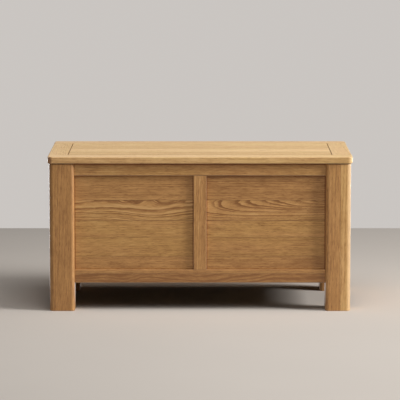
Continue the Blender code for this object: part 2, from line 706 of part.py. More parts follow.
def main():
    clear_scene()
    lid_pivot = pivot_at("lid_pivot", HINGE_AXIS)
    for front_or_back in ("front", "back"):
        for hand in SIGNS:
            make_leg(front_or_back, hand)
    for side in SETBACKS:
        for level in RAIL_LEVELS:
            make_rail(side, level)
        make_panels(side)
    for side in ("front", "back"):
        make_muntin(side)
    make_floor()
    make_lid_frame(lid_pivot)
    make_lid_boards(lid_pivot)
    for hand in SIGNS:
        make_hinge(hand, lid_pivot)
        make_strut(hand, lid_pivot)
        piece(f"bumper_{hand}", bumper_shape(hand), "rubber")

    foot, head = strut_points()
    print(f"hinge axis at y {HINGE_Y:.5f}, z {HINGE_Z:.5f}")
    print(f"strut foot at y {foot.y:.5f}, z {foot.z:.5f}; head at y {head.y:.5f}, z {head.z:.5f}")
    print(f"strut plane at x {strut_plane_x():.5f}; closed length {(head - foot).length:.5f}")


main()
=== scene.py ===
# %% [markdown]
# # Dressing an oak blanket chest
# The solid model of the chest is already built: every timber, hinge and strut is in its place.
# This lesson gives each piece its finished surface. The timbers come first, because the eye goes to the oak.
# The plan is to work out each surface as an array of points with numpy, to store on every point where it lay
# in the log that it was sawn from, and to let one oak recipe grow the year rings through that log.

# %% Load the chest and keep its box
import json
import math
import bpy
import numpy as np
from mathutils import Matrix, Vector

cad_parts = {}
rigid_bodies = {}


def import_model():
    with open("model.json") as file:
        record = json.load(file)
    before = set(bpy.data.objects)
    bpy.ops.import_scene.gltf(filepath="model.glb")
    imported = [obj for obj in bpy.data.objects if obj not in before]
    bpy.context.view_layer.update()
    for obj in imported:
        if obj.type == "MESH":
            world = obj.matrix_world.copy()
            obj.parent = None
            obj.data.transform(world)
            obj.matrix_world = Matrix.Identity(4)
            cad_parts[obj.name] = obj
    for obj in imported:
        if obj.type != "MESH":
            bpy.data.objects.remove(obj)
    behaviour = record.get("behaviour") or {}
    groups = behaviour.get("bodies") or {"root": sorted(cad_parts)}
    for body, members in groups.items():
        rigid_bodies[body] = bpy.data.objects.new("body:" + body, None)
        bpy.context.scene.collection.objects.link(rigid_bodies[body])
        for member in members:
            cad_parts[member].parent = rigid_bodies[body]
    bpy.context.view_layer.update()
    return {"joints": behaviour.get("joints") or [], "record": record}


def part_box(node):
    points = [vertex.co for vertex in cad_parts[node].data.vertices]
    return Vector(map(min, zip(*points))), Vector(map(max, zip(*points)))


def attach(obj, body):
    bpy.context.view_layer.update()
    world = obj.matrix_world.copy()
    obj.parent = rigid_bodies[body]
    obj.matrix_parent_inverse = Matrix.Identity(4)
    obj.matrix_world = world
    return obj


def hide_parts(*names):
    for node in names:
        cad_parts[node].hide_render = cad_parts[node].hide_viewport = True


for leftover in list(bpy.data.objects):
    bpy.data.objects.remove(leftover, do_unlink=True)
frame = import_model()
members = frame["record"]["behaviour"]["bodies"]
body_of = {node: body for body, nodes in members.items() for node in nodes}
pivots = {joint["name"]: np.array(joint["pos_m"]) for joint in frame["joints"]}
HANDS = {"left": -1, "right": 1}
SIDES = {"front": "x", "back": "x", "left": "y", "right": "y"}

# %% [markdown]
# ## The camera
# The chest was photographed from straight in front, a little above its lid and from far away, so its sides
# hardly show. A long lens at eight metres gives that flat perspective. A short lens close by could frame the
# chest as large, but it would show the lid too wide at the front and too deep.

# %% Place the camera
CAMERA_PLACE = (0.0, -8.054, 1.3237)
CAMERA_DIP = math.radians(7.22)
CAMERA_LENS_MM, CAMERA_SENSOR_MM = 240.75, 36.0


def put(name, data):
    """A new object in the scene."""
    made = bpy.data.objects.new(name, data)
    bpy.context.scene.collection.objects.link(made)
    return made


lens = bpy.data.cameras.new("camera")
lens.lens = CAMERA_LENS_MM
lens.sensor_width = CAMERA_SENSOR_MM
camera = put("camera", lens)
camera.location = CAMERA_PLACE
camera.rotation_euler = (math.pi / 2 - CAMERA_DIP, 0.0, 0.0)
bpy.context.scene.camera = camera
bpy.context.scene.view_settings.view_transform = "Standard"
print("camera looks down by", round(math.degrees(CAMERA_DIP), 2), "degrees")

# %% [markdown]
# ## Recipes for finishes
# A finish in Blender is a tree of nodes. Written out one node at a time it fills pages, so these two small
# classes let a tree read like a formula: a method adds a node or two and hands back the output as a wire,
# and wires can be added and multiplied. Numbers that hold all over a surface go onto the shader's own
# sockets.

# %% A notebook for node trees
class Wire:
    """One output in a node tree. Sums, differences and products of wires add Math nodes."""

    def __init__(self, recipe, socket):
        self.recipe, self.socket = recipe, socket

    def __add__(self, other):
        return self.recipe.calc("ADD", self, other)

    def __sub__(self, other):
        return self.recipe.calc("SUBTRACT", self, other)

    def __mul__(self, other):
        return self.recipe.calc("MULTIPLY", self, other)


class Recipe:
    """The node tree of a world, or of a new material of some name: methods add nodes and return wires."""

    def __init__(self, owner, shader="Principled BSDF", **constants):
        self.owner = bpy.data.materials.new(owner) if isinstance(owner, str) else owner
        self.owner.use_nodes = True
        self.tree = self.owner.node_tree
        self.shader = self.tree.nodes[shader]
        self.feed(self.shader, constants)

    def feed(self, node, inputs):
        for key, value in inputs.items():
            socket = node.inputs[key.replace("_", " ") if isinstance(key, str) else key]
            if isinstance(value, Wire):
                self.tree.links.new(value.socket, socket)
            else:
                socket.default_value = value

    def add(self, kind, output, inputs, **settings):
        node = self.tree.nodes.new("ShaderNode" + kind)
        for key, value in settings.items():
            setattr(node, key, value)
        self.feed(node, inputs)
        return Wire(self, node.outputs[output])

    def place(self):
        return self.add("TexCoord", "Object", {})

    def attribute(self, name):
        return self.add("Attribute", "Vector", {}, attribute_name=name)

    def parts(self, name):
        """The three parts of a value that lies on the points."""
        node = self.add("SeparateXYZ", 0, {0: self.attribute(name)}).socket.node
        return [Wire(self, socket) for socket in node.outputs]

    def calc(self, operation, *values):
        return self.add("Math", 0, dict(enumerate(values)), operation=operation)

    def vector(self, operation, *values):
        output = "Value" if operation == "LENGTH" else "Vector"
        return self.add("VectorMath", output, dict(enumerate(values)), operation=operation)

    def noise(self, place, along, across, detail, output="Fac"):
        """Noise with so many cells to a metre along X and across it, and detail finer layers."""
        scaled = self.vector("MULTIPLY", place, (along, across, across))
        return self.add("TexNoise", output, {"Vector": scaled, "Scale": 1.0, "Detail": detail})

    def span(self, value, low, high, to_low=0.0, to_high=1.0):
        """A soft step: to_low below low, to_high above high, and a smooth ease between."""
        inputs = {"Value": value, "From Min": low, "From Max": high, "To Min": to_low, "To Max": to_high}
        return self.add("MapRange", "Result", inputs, interpolation_type="SMOOTHSTEP")

    def curve(self, value, stops):
        """A grey or coloured ramp through (position, shade) stops."""
        ramp = self.add("ValToRGB", "Color", {0: value})
        elements = ramp.socket.node.color_ramp.elements
        while len(elements) < len(stops):
            elements.new(0.5)
        for element, (position, shade) in zip(elements, stops):
            element.position = position
            element.color = (*shade, 1.0) if isinstance(shade, tuple) else (shade, shade, shade, 1.0)
        return ramp

    def mix(self, factor, first, second, blend="MIX"):
        first, second = ((*c, 1.0) if isinstance(c, tuple) else c for c in (first, second))
        return self.add("Mix", 2, {0: factor, 6: first, 7: second}, data_type="RGBA", blend_type=blend)

    def tint(self, factor, colour, by):
        return self.mix(factor, colour, by, "MULTIPLY")

    def relief(self, height, distance, strength):
        return self.add("Bump", "Normal", {"Height": height, "Distance": distance, "Strength": strength})

    def done(self, **sockets):
        self.feed(self.shader, sockets)
        return self.owner


print("a recipe has", sum(callable(entry) for entry in vars(Recipe).values()), "methods")

# %% [markdown]
# ## The floor and the grey world
# The chest stands on a pale floor that runs to a straight far edge, and behind the edge is only the world.
# An upright plane could stand there, but it would hide the chest from a camera that walks round it. The
# world is a light grey to the camera and in polished metal. As a light it is far weaker, so that the lamps
# make the shadows.

# %% A pale floor
FLOOR_FAR_Y, FLOOR_SPAN = 1.58, 14.0
FLOOR_COLOUR, FLOOR_DRIFT = (0.584, 0.532, 0.480), (0.97, 1.03)

recipe = Recipe("pale_floor", Roughness=0.9, Specular_IOR_Level=0.0)
drift = recipe.noise(recipe.place(), along=1.4, across=1.4, detail=3.0)
shades = [tuple(round(part * share, 4) for part in FLOOR_COLOUR) for share in FLOOR_DRIFT]
floor_corners = np.array([(-1, -1), (1, -1), (1, 0), (-1, 0)], float) * FLOOR_SPAN + (0.0, FLOOR_FAR_Y)
floor_mesh = bpy.data.meshes.new("floor")
floor_mesh.from_pydata(np.c_[floor_corners, np.zeros(4)].tolist(), [], [(0, 1, 2, 3)])
floor_mesh.materials.append(recipe.done(Base_Color=recipe.mix(drift, *shades)))
floor = put("floor", floor_mesh)
print("floor up to y", FLOOR_FAR_Y)

# %% Backdrop and fill light
BACKDROP_GREY = (0.590, 0.560, 0.535, 1.0)
FILL_GREY, FILL_STRENGTH = (0.50, 0.50, 0.50, 1.0), 0.02

bpy.context.scene.world = bpy.data.worlds.new("studio")
recipe = Recipe(bpy.context.scene.world, "Background", Color=FILL_GREY, Strength=FILL_STRENGTH)
seen, mirrored, through = (
    recipe.add("LightPath", f"Is {ray} Ray", {}) for ray in ("Camera", "Glossy", "Transmission")
)
shown = recipe.calc("MAXIMUM", recipe.calc("MAXIMUM", seen, mirrored), through)
fill = Wire(recipe, recipe.shader.outputs[0])
backdrop = recipe.add("Background", 0, {"Color": BACKDROP_GREY})
choice = recipe.add("MixShader", 0, {0: shown, 1: fill, 2: backdrop})
recipe.feed(recipe.tree.nodes["World Output"], {0: choice})
print("fill light of", FILL_STRENGTH)

# %% [markdown]
# ## The lamps
# The main light is one large soft lamp high on the right. It leaves the left edges dark and throws the
# shadow to the left. A lamp overhead and a weak one in front fill in. Two footlights let the back be seen.
# Higher up they would wash out the dark gap under the chest, so they lie beyond the floor's far edge and
# just below its level: from there they reach what stands on the floor, and never the floor itself.

# %% Five soft lamps
LAMP_AIM = (0.0, 0.0, 0.2)
LAMPS = {
    "key_lamp": {"place": (6.2, -1.9, 3.2), "size": 2.2, "power": 333.0, "spread": 140.0},
    "front_lamp": {"place": (0.5, -3.0, 2.8), "size": 2.0, "power": 16.0},
    "top_lamp": {"place": (0.2, -0.8, 3.4), "size": 2.2, "power": 55.0},
    "right_footlight": {"place": (2.8, 5.0, -0.06), "size": 1.4, "height": 0.1, "power": 70.0},
    "left_footlight": {"place": (-3.2, 4.6, -0.06), "size": 1.4, "height": 0.1, "power": 70.0},
}


def lamp(name, place, size, power, spread=180.0, height=None):
    """A soft lamp aimed at the chest, square unless a height is given, that fans out by spread degrees."""
    data = bpy.data.lights.new(name, "AREA")
    data.shape = "RECTANGLE"
    data.size = size
    data.size_y = height or size
    data.energy = power
    data.spread = math.radians(spread)
    made = put(name, data)
    made.location = place
    made.visible_camera = False
    made.rotation_mode = "QUATERNION"
    made.rotation_quaternion = (Vector(LAMP_AIM) - Vector(place)).to_track_quat("-Z", "Y")


for lamp_name, setting in LAMPS.items():
    lamp(lamp_name, **setting)
print(len(LAMPS), "lamps")

# %% [markdown]
# ## Surfaces from arrays
# Every surface of the chest is a stack of rings with the same number of points: round a timber, a pin or a
# screw head. So the faces between them can be written down as one array of point numbers for any shape.
# The timbers are rectangles carried along a line. Their real edges are softened with a plane or a router,
# and that roundness catches the light. A cube with a Bevel modifier would do for the shape, but these
# points also carry values that the finish reads: whether they lie on an edge, end grain or a glued seam.

# %% A closed surface
class Shell:
    """Rings of points joined by four-sided faces, and values that lie on the points.

    The first and the last ring get flat caps, unless the surface is closed: then they are joined.
    """

    def __init__(self, grid, closed=False, **values):
        rings, count = grid.shape[:2]
        ring, spot = np.meshgrid(np.arange(rings if closed else rings - 1), np.arange(count), indexing="ij")
        after, above = (spot + 1) % count, (ring + 1) % rings
        around = [ring * count + spot, ring * count + after, above * count + after, above * count + spot]
        self.points = grid.reshape(-1, 3)
        self.quads = np.stack(around, -1).reshape(-1, 4)
        self.caps = [] if closed else [np.arange(count)[::-1], np.arange(count) + (rings - 1) * count]
        self.values = values


print("a closed band of 3 rings has", len(Shell(np.zeros((3, 8, 3)), closed=True).quads), "faces")

# %% The surface of an eased timber
AXES = {"x": (1, 2, 0), "y": (2, 0, 1), "z": (0, 1, 2)}
SUPPORT = 0.0006
SEAM_BELOW = 0.0005
LEAST_RADIUS = 1e-5
ROUND_STEPS = 8


def quarter_round(steps, support):
    """Round a quarter circle, with one more point on the flat before it and after it.

    First the shares of the radius in from the two sides, 1 - cos angle and 1 - sin angle. Then how far the
    last and the first point lie past the arc, and a mark that is 1 in the middle of the arc.
    """
    angle = np.linspace(0.0, math.pi / 2, steps + 1)
    past = np.r_[np.zeros(steps + 2), support]
    rising, falling = np.r_[0.0, 1.0 - np.cos(angle), 1.0], np.r_[1.0, 1.0 - np.sin(angle), 0.0]
    return rising, falling, past, past[::-1], np.r_[0.0, np.sin(2 * angle), 0.0]


def eased_bar(low, high, axis, edges=0.002, ends=0.0008, steps=4, end_steps=3, stations=1, across=(1, 1),
              support=SUPPORT):
    """A bar along one axis whose long edges and ends are eased.

    Round each corner the section follows a quarter ellipse: the distance in from a side is
    inset + radius * (1 - cos angle). Towards an end the inset itself grows by the same rule, so the section
    shrinks along a quarter circle. edges gives the radii of the four long edges and ends those of the four
    sides at both ends; stations and across cut the flat stretches into equal parts, and support is how far
    inside an eased edge the flat starts, so that the shading stays flat there. A nearly square edge counts
    as a glued seam.
    """
    u, v, w = AXES[axis]
    low, high = np.array(low, float), np.array(high, float)
    edges, ends = (np.broadcast_to(np.asarray(radii, float), 4) for radii in (edges, ends))
    climb, inset, past_up, past_in, end_edge = (row[:, None] for row in quarter_round(end_steps, support))
    arc_a, arc_b, past_a, past_b, arc_mark = quarter_round(steps, support)
    share_b = (1 - arc_b) ** 2

    corner_rows = []
    for corner in range(4):
        side_a, side_b = (corner - 1) % 4, corner
        in_a, in_b = (inset * ends[side] + past_in for side in (side_a, side_b))
        radius_a, radius_b = (np.maximum(edges[corner] - start, LEAST_RADIUS) for start in (in_a, in_b))
        from_side = {side_a: in_a + radius_a * arc_a + past_a, side_b: in_b + radius_b * arc_b + past_b}
        place_u = low[u] + from_side[3] if 3 in from_side else high[u] - from_side[1]
        place_v = low[v] + from_side[0] if 0 in from_side else high[v] - from_side[2]
        rise = climb * (ends[side_a] * (1 - share_b) + ends[side_b] * share_b)
        glued = np.r_[0.0, np.ones(steps + 1), 0.0] * (edges[corner] < SEAM_BELOW)
        corner_rows.append(np.stack(np.broadcast_arrays(place_u, place_v, rise, arc_mark, glued)))

    rows = []
    for corner, here in enumerate(corner_rows):
        last, after = here[..., -1:], corner_rows[(corner + 1) % 4][..., :1]
        parts = across[corner % 2]
        rows += [here, last + (after - last) * np.arange(1, parts) / parts]
    ring_u, ring_v, rise, corner_mark, seam = np.concatenate(rows, -1)

    def both_ends(rings):
        """The rings of one end, the last of them again at each station, and all of them in reverse."""
        return np.concatenate([rings, np.repeat(rings[-1:], stations - 1, 0), rings[::-1]])

    rise = rise + past_up
    span = high[w] - low[w]
    run = (np.arange(1, stations) / stations)[:, None] * (span - 2 * rise[-1]) + rise[-1]
    along = low[w] + np.concatenate([rise, run, span - rise[::-1]])
    grid = np.empty((*along.shape, 3))
    grid[..., u], grid[..., v], grid[..., w] = both_ends(ring_u), both_ends(ring_v), along
    eased = np.maximum(both_ends(end_edge), both_ends(corner_mark))
    marks = np.stack(np.broadcast_arrays(eased, both_ends(inset), seam[-1]), -1)
    return Shell(grid, marks=marks.reshape(-1, 3))


print("an eased timber has", len(eased_bar((0, 0, 0), (1, 0.1, 0.1), "x").points), "points")

# %% [markdown]
# ## From arrays to pieces
# Most pieces stand for one solid of the model: they ride on the same body and hide the plain solid. Screws
# and the struts' eyes have no solid of their own and are told their body. The values become mesh
# attributes, which a material reads by name. The angle test keeps flat faces crisp and lets round ones
# shade smoothly.

# %% Put a surface into the scene
SMOOTH_BELOW = math.radians(40)


def outward(shell):
    """Its faces and caps, turned round if the volume that they enclose comes out negative."""
    a, b, c, d = (shell.points[shell.quads[:, k]] for k in range(4))
    volume = np.einsum("ij,ij->", a, np.cross(b, c) + np.cross(c, d))
    for cap in shell.caps:
        rim = shell.points[cap]
        volume += np.einsum("j,ij->", rim[0], np.cross(rim[1:-1], rim[2:]))
    step = 1 if volume > 0 else -1
    return shell.quads[:, ::step], [cap[::step] for cap in shell.caps]


def piece(name, shells, material, *nodes, body=None, slot=None):
    """One object from closed surfaces, on the body of the solids that it stands for or on a given one."""
    shells = shells if isinstance(shells, list) else [shells]
    faces, past = [], 0
    for shell in shells:
        quads, caps = outward(shell)
        faces += (quads + past).tolist() + [(cap + past).tolist() for cap in caps]
        past += len(shell.points)
    mesh = bpy.data.meshes.new(name)
    mesh.from_pydata(np.concatenate([shell.points for shell in shells]).tolist(), [], faces)
    for key in sorted(set.intersection(*(set(shell.values) for shell in shells))):
        values = np.concatenate([shell.values[key] for shell in shells]).astype(np.float32)
        layer = mesh.attributes.new(key, "FLOAT_VECTOR", "POINT")
        layer.data.foreach_set("vector", values.ravel())
    mesh.materials.append(material)
    mesh.shade_smooth()
    mesh.set_sharp_from_angle(angle=SMOOTH_BELOW)
    made = put(name, mesh)
    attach(made, body or body_of[nodes[0]])
    if nodes:
        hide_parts(*nodes)


def corners(node):
    low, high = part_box(node)
    return np.array(low), np.array(high)


print("the left front leg is", np.round(np.diff(corners("leg_front_left"), axis=0)[0], 4).tolist(), "m")

# %% [markdown]
# ## Oak
# Oak is ring-porous: each spring the tree lays down a band of wide, dark pores, and each summer dense pale
# wood that fades into the next band. A board shows those rings as lines where the saw met them edge on,
# and as nested arches where it cut a slice off a leaning trunk. A stretched noise could imitate lines, but
# never arches, and its ends and faces would not belong together. So each point carries its place in the
# log, with the heart of the tree along X, and the recipe counts rings by the distance from that heart.

# %% Year rings
GRAIN = {  # cells to a metre along and across the log, and finer layers
    "wander": (3.0, 15.0, 2.0), "ripple": (24.0, 110.0, 2.0), "pores": (60.0, 1100.0, 1.0),
    "fibre": (52.0, 330.0, 3.0), "streak": (19.0, 100.0, 2.0), "cloud": (1.7, 10.0, 2.0),
    "olive": (2.6, 22.0, 2.0),
}
SWAY = {"wander": 0.012, "ripple": 0.0020}
ACROSS_LOG, NOISE_MEAN = (0.0, 1.0, 1.0), 0.5
RING_WIDTH = 0.0034
UNEVEN_PACE, UNEVEN_YEARS = 0.45, 2.2
YEAR_DRIFT, YEAR_WEAKEST = 0.75, 0.5
SPRING_STOPS = [(0.0, 0.10), (0.07, 1.0), (0.24, 0.72), (0.55, 0.18), (0.90, 0.0), (1.0, 0.10)]


def year_rings(recipe, log):
    """How dark the spring band is at each place in the log.

    Two noises sway the place across the log. Its distance from the heart in ring widths, with uneven years
    added, counts the rings, and what is left after the whole number is the time of the year.
    """
    place = log
    for layer, reach in SWAY.items():
        sway = recipe.vector("SUBTRACT", recipe.noise(log, *GRAIN[layer], "Color"), (NOISE_MEAN,) * 3)
        place = recipe.vector("ADD", place, recipe.vector("MULTIPLY", sway, (0.0, reach, reach)))
    radius = recipe.vector("LENGTH", recipe.vector("MULTIPLY", place, ACROSS_LOG))
    count = recipe.calc("DIVIDE", radius, RING_WIDTH)
    pace = {"W": count * UNEVEN_PACE, "Scale": 1.0, "Detail": 1.0}
    count = count + recipe.add("TexNoise", "Fac", pace, noise_dimensions="1D") * UNEVEN_YEARS
    spring = recipe.curve(recipe.calc("FRACT", count), SPRING_STOPS)
    year = {"W": recipe.calc("FLOOR", count)}
    strength = recipe.add("TexWhiteNoise", "Value", year, noise_dimensions="1D")
    return spring * (strength * YEAR_DRIFT + YEAR_WEAKEST)


print("rings of", RING_WIDTH * 1000, "mm")

# %% [markdown]
# ## The finish on the oak
# Rings alone look drawn. Fibres, streaks and slow clouds break them up, and short dark pores lie in the
# spring bands. End grain drinks the lacquer and goes dark, and on the lid's left end that darkening is also a
# painted shade. Glue lines stay thin and dark. The eased edges get a pale painted highlight, and a painted
# shade darkens a panel where it meets its frame and a top rail along its top, under the lid.

# %% The oak recipe
RING_SHARE = 0.62
STREAKS = {"fibre": 0.46, "streak": 0.74, "cloud": 0.32}
PORE_EDGE, PORE_IN_SPRING, PORE_LEAST = (0.54, 0.68), 0.40, 0.25
MIDDLE_STOP = 0.38
OLIVE_EDGE, OLIVE = (0.35, 0.65), (0.98, 1.015, 0.94)
# End grain is darker. On the lid's left end the same darkening is also a painted shade.
END_SHARE, END_GRAIN_AND_SHADE = 0.9, (0.55, 0.36, 0.26)
# A pale painted highlight on the eased edges, where the lamps catch the rounding.
PAINTED_EDGE_HIGHLIGHT, GLUE_LINE = (0.78, 0.65, 0.46), (0.42, 0.34, 0.26)
# Painted shade: a dark band along the sides and top of a panel, where the frame shades it, and along the top
# of a top rail, under the lid.
PAINTED_SHADE_AT_SIDE, PAINTED_SHADE_AT_TOP = (0.976, 0.994), (0.970, 0.985)
PAINTED_SHADE_SHARE, PAINTED_SHADE_COLOUR = 0.80, (0.42, 0.25, 0.11)
COAT_ROUGHNESS, GLOSS_DRIFT, PORE_DULLING = 0.55, 0.16, 0.10
PORE_DEPTH, SPRING_DEPTH = -0.7, -0.3


def oak(name, pale, middle, deep, roughness, coat=0.0, gloss_level=0.5, paling=0.3):
    """Rings, pores and fibres in log space, shaded from pale summer wood to dark spring pores."""
    lacquer = {"Coat_Weight": coat, "Coat_Roughness": COAT_ROUGHNESS}
    recipe = Recipe(name, Specular_IOR_Level=gloss_level, **lacquer)
    log = recipe.attribute("log")
    tone, bold, warm = recipe.parts("board")
    edge, end, seam = recipe.parts("marks")
    across, upward, _ = recipe.parts("sight")
    spring = year_rings(recipe, log)
    grain = {layer: recipe.noise(log, *GRAIN[layer]) for layer in ("pores", "olive", *STREAKS)}
    pores = recipe.span(grain["pores"], *PORE_EDGE)

    dark = spring * bold * RING_SHARE
    for layer, share in STREAKS.items():
        dark = dark + (grain[layer] - NOISE_MEAN) * share
    dark = dark + pores * (spring * PORE_IN_SPRING + PORE_LEAST) + tone
    colour = recipe.curve(dark, [(0.0, pale), (MIDDLE_STOP, middle), (1.0, deep)])
    colour = recipe.tint(recipe.span(grain["olive"] + warm, *OLIVE_EDGE), colour, OLIVE)
    # Dark end grain, on the lid's left end also a painted shade.
    colour = recipe.tint(end * END_SHARE, colour, END_GRAIN_AND_SHADE)
    # Painted highlight: the eased edges are paled by their edge mark.
    colour = recipe.mix(edge * paling, colour, PAINTED_EDGE_HIGHLIGHT)
    colour = recipe.tint(seam, colour, GLUE_LINE)
    # Painted shade near the frame's edges and under the lid, read from the sight values.
    at_side = recipe.span(recipe.calc("ABSOLUTE", across), *PAINTED_SHADE_AT_SIDE)
    dust_and_painted_shade = recipe.calc("MAXIMUM", at_side, recipe.span(upward, *PAINTED_SHADE_AT_TOP))
    colour = recipe.tint(dust_and_painted_shade * PAINTED_SHADE_SHARE, colour, PAINTED_SHADE_COLOUR)

    gloss = grain["fibre"] * GLOSS_DRIFT + (roughness - GLOSS_DRIFT / 2) + pores * PORE_DULLING
    relief = recipe.relief(pores * PORE_DEPTH + spring * SPRING_DEPTH, distance=0.00018, strength=0.6)
    return recipe.done(Base_Color=colour, Roughness=gloss, Normal=relief)


OAK_FRAME = oak(
    "oak_frame", (0.66, 0.380, 0.147), (0.49, 0.243, 0.072), (0.24, 0.094, 0.018),
    roughness=0.46, coat=0.8, gloss_level=0.35, paling=0.6,
)
OAK_PANEL = oak(
    "oak_panel", (0.66, 0.390, 0.158), (0.53, 0.278, 0.094), (0.25, 0.102, 0.028), roughness=0.46,
)
OAK_LID = oak(
    "oak_lid", (0.80, 0.534, 0.252), (0.67, 0.410, 0.174), (0.39, 0.188, 0.063), roughness=0.44, paling=0.12,
)
print("oak for the frame, the panels and the lid")

# %% [markdown]
# ## Sawing the boards
# A board's look depends on where it was sawn from the log. Far from the heart and edge on to the rings, it
# has straight fine lines: that is quarter-sawn or rift-sawn wood. Cut flat off the side, close to the heart,
# it has arches. So each timber is given the place of the heart, across the board, and the lean of the trunk.

# %% Where each timber lay in its log
chance = np.random.default_rng(11)
CUTS = {"rift": (0.10, 0.13), "quarter": (0.02, 0.20), "flat": (0.060, 0.012)}
HEART_DRIFT, LEAN_DRIFT = (0.85, 1.2), (-0.035, 0.035)
TONE_DRIFT, WARM_DRIFT = (0.20, 0.34), (-0.2, 0.2)
LOG_STARTS = (2.0, 40.0)


def sawn(shell, axis, heart, lean, tone, bold, warm, seam=0.0, wear=1.0, bends=()):
    """Adds the log place and the board's own tone to a shell.

    Along the log is the distance along the timber plus a far start of the board's own. Across it are the
    distances from the heart, which drift along the timber by lean, metres per metre. Each bend
    (place, reach, level, height, shift) pushes the grain across by shift, in a bell curve about a place along
    the timber and a level across it. seam says how far the glued edges show, and wear how far the eased edges
    get their pale painted highlight.
    """
    u, v, w = AXES[axis]
    place = shell.points - (shell.points.min(0) + shell.points.max(0)) / 2
    start = chance.uniform(*LOG_STARTS)
    across_u = place[:, u] + heart[0] + lean[0] * place[:, w]
    across_v = place[:, v] + heart[1] + lean[1] * place[:, w]
    for spot, reach, level, height, shift in bends:
        bell = ((place[:, w] - spot) / reach) ** 2 + ((place[:, v] - level) / height) ** 2
        across_v = across_v + shift * np.exp(-bell)
    shell.values["log"] = np.stack([place[:, w] + start, across_u, across_v], 1)
    shell.values["board"] = np.tile((tone, bold, warm), (len(place), 1))
    shell.values["marks"] *= (wear, 1.0, seam)
    return shell


def timber(low, high, axis, cut="rift", flip=False, heart=None, lean=None, tone=None, bold=0.5, warm=None,
           seam=0.0, wear=0.4, bends=(), **shape):
    """An eased bar, sawn from a log in one of the usual ways, with small chances of its own."""
    usual = np.array(CUTS[cut])[::-1 if flip else 1]
    usual = usual * chance.uniform(*HEART_DRIFT, 2) * chance.choice((-1, 1), 2)
    heart = usual if heart is None else heart
    lean = chance.uniform(*LEAN_DRIFT, 2) if lean is None else lean
    tone = chance.uniform(*TONE_DRIFT) if tone is None else tone
    warm = chance.uniform(*WARM_DRIFT) if warm is None else warm
    return sawn(eased_bar(low, high, axis, **shape), axis, heart, lean, tone, bold, warm, seam, wear, bends)


print("cuts:", ", ".join(CUTS))

# %% [markdown]
# ## The legs
# A leg this thick is glued up from two boards, and the joint shows as a fine line down its face where the
# colour changes. The long outer edges are well rounded. Each board is its own eased bar: round where the leg
# is round, square at the glue line.

# %% Four glued legs
LEG_ROUND, LEG_INNER_ROUND = 0.0125, 0.0100
LEG_SQUARE, LEG_FLUSH_EDGE, LEG_FOOT = 0.0002, 0.0010, 0.0015
LEG_SEAM_IN = {"left": 0.0240, "right": 0.0305}
LEG_SEAM = {"left": 0.4, "right": 0.9}
# wear sets each board's painted highlight on its eased edges; only the right leg's outer edge, which the lamp
# catches, keeps one.
LEG_LOOKS = {  # of the outer and the inner board
    "left": ({"tone": 0.44, "warm": -0.12, "wear": 0.0}, {"tone": 0.44, "warm": -0.22, "wear": 0.0}),
    "right": ({"tone": 0.01, "warm": 0.15, "wear": 0.4}, {"tone": 0.35, "warm": -0.18, "wear": 0.0}),
}
LEG_BOLD, LEG_HEART, LEG_HEART_DRIFT = 0.48, (0.078, 0.130), (0.8, 1.2)

for end in ("front", "back"):
    for hand, sign in HANDS.items():
        node = f"leg_{end}_{hand}"
        low, high = corners(node)
        outer, inner = (low[0], high[0]) if hand == "left" else (high[0], low[0])
        joint = outer - sign * LEG_SEAM_IN[hand if end == "front" else "left"]
        boards = []
        for inner_board, side in enumerate((outer, inner)):
            x0, x1 = sorted((joint, side))
            radii = np.full(4, LEG_INNER_ROUND if inner_board else LEG_ROUND)
            seam_on_left = (hand == "right") != inner_board
            radii[[0, 3] if seam_on_left else [1, 2]] = LEG_SQUARE
            if inner_board and end == "back":
                radii[2 if hand == "left" else 3] = LEG_FLUSH_EDGE
            heart = np.array(LEG_HEART) * chance.uniform(*LEG_HEART_DRIFT, 2)
            boards.append(timber(
                (x0, *low[1:]), (x1, *high[1:]), "z", heart=heart, bold=LEG_BOLD, seam=LEG_SEAM[hand],
                edges=radii, ends=LEG_FOOT, steps=ROUND_STEPS, **LEG_LOOKS[hand][inner_board],
            ))
        piece(f"{node}_timber", boards, OAK_FRAME, node)
print("legs", round((high[0] - low[0]) * 1000, 1), "mm wide, of two boards each")

# %% [markdown]
# ## Rails and muntins
# The rails run between the legs and hold the panels in a groove. Their ends are tenoned into the legs, out of
# sight, so the surface stops at the leg. The lower front rail is glued up from a reddish board and a paler
# strip on top of it, which shows as a band under the panels.

# %% Eight rails and two muntins
TOUCH = 0.0003
# The last of these sets how far down a top rail the painted shadow under the lid reaches.
RAIL_EDGE, RAIL_END, RAIL_SHADE_REACH = 0.0022, 0.0002, 0.17
STRIP_HEIGHT, STRIP_SQUARE, STRIP_EDGE = 0.0118, 0.0003, 0.0014
RAIL = {"bold": 0.45, "edges": RAIL_EDGE, "ends": RAIL_END}
RAIL_LOOKS = {"front_top_rail": {"tone": 0.30, "warm": -0.05}}
APRON = {
    "heart": (0.075, -0.026), "lean": (0.020, 0.015), "tone": 0.66, "bold": 1.0, "warm": -0.30, "seam": 0.7,
    "edges": (RAIL_EDGE, RAIL_EDGE, STRIP_SQUARE, STRIP_SQUARE), "ends": RAIL_END, "stations": 120,
    "bends": (
        (-0.23, 0.035, 0.0, 1.0, 0.007), (-0.15, 0.050, 0.0, 1.0, -0.007), (0.02, 0.060, 0.0, 1.0, 0.008),
        (0.22, 0.050, 0.0, 1.0, -0.006),
    ),
}
STRIP = {
    "tone": 0.45, "bold": 0.45, "warm": -0.12, "seam": 0.8, "wear": 0.0,
    "edges": (STRIP_SQUARE, STRIP_SQUARE, STRIP_EDGE, STRIP_EDGE), "ends": RAIL_END,
}
MUNTIN = {
    "cut": "quarter", "flip": True, "tone": 0.33, "bold": 0.90, "warm": -0.25, "edges": 0.0008,
    "ends": RAIL_END,
}
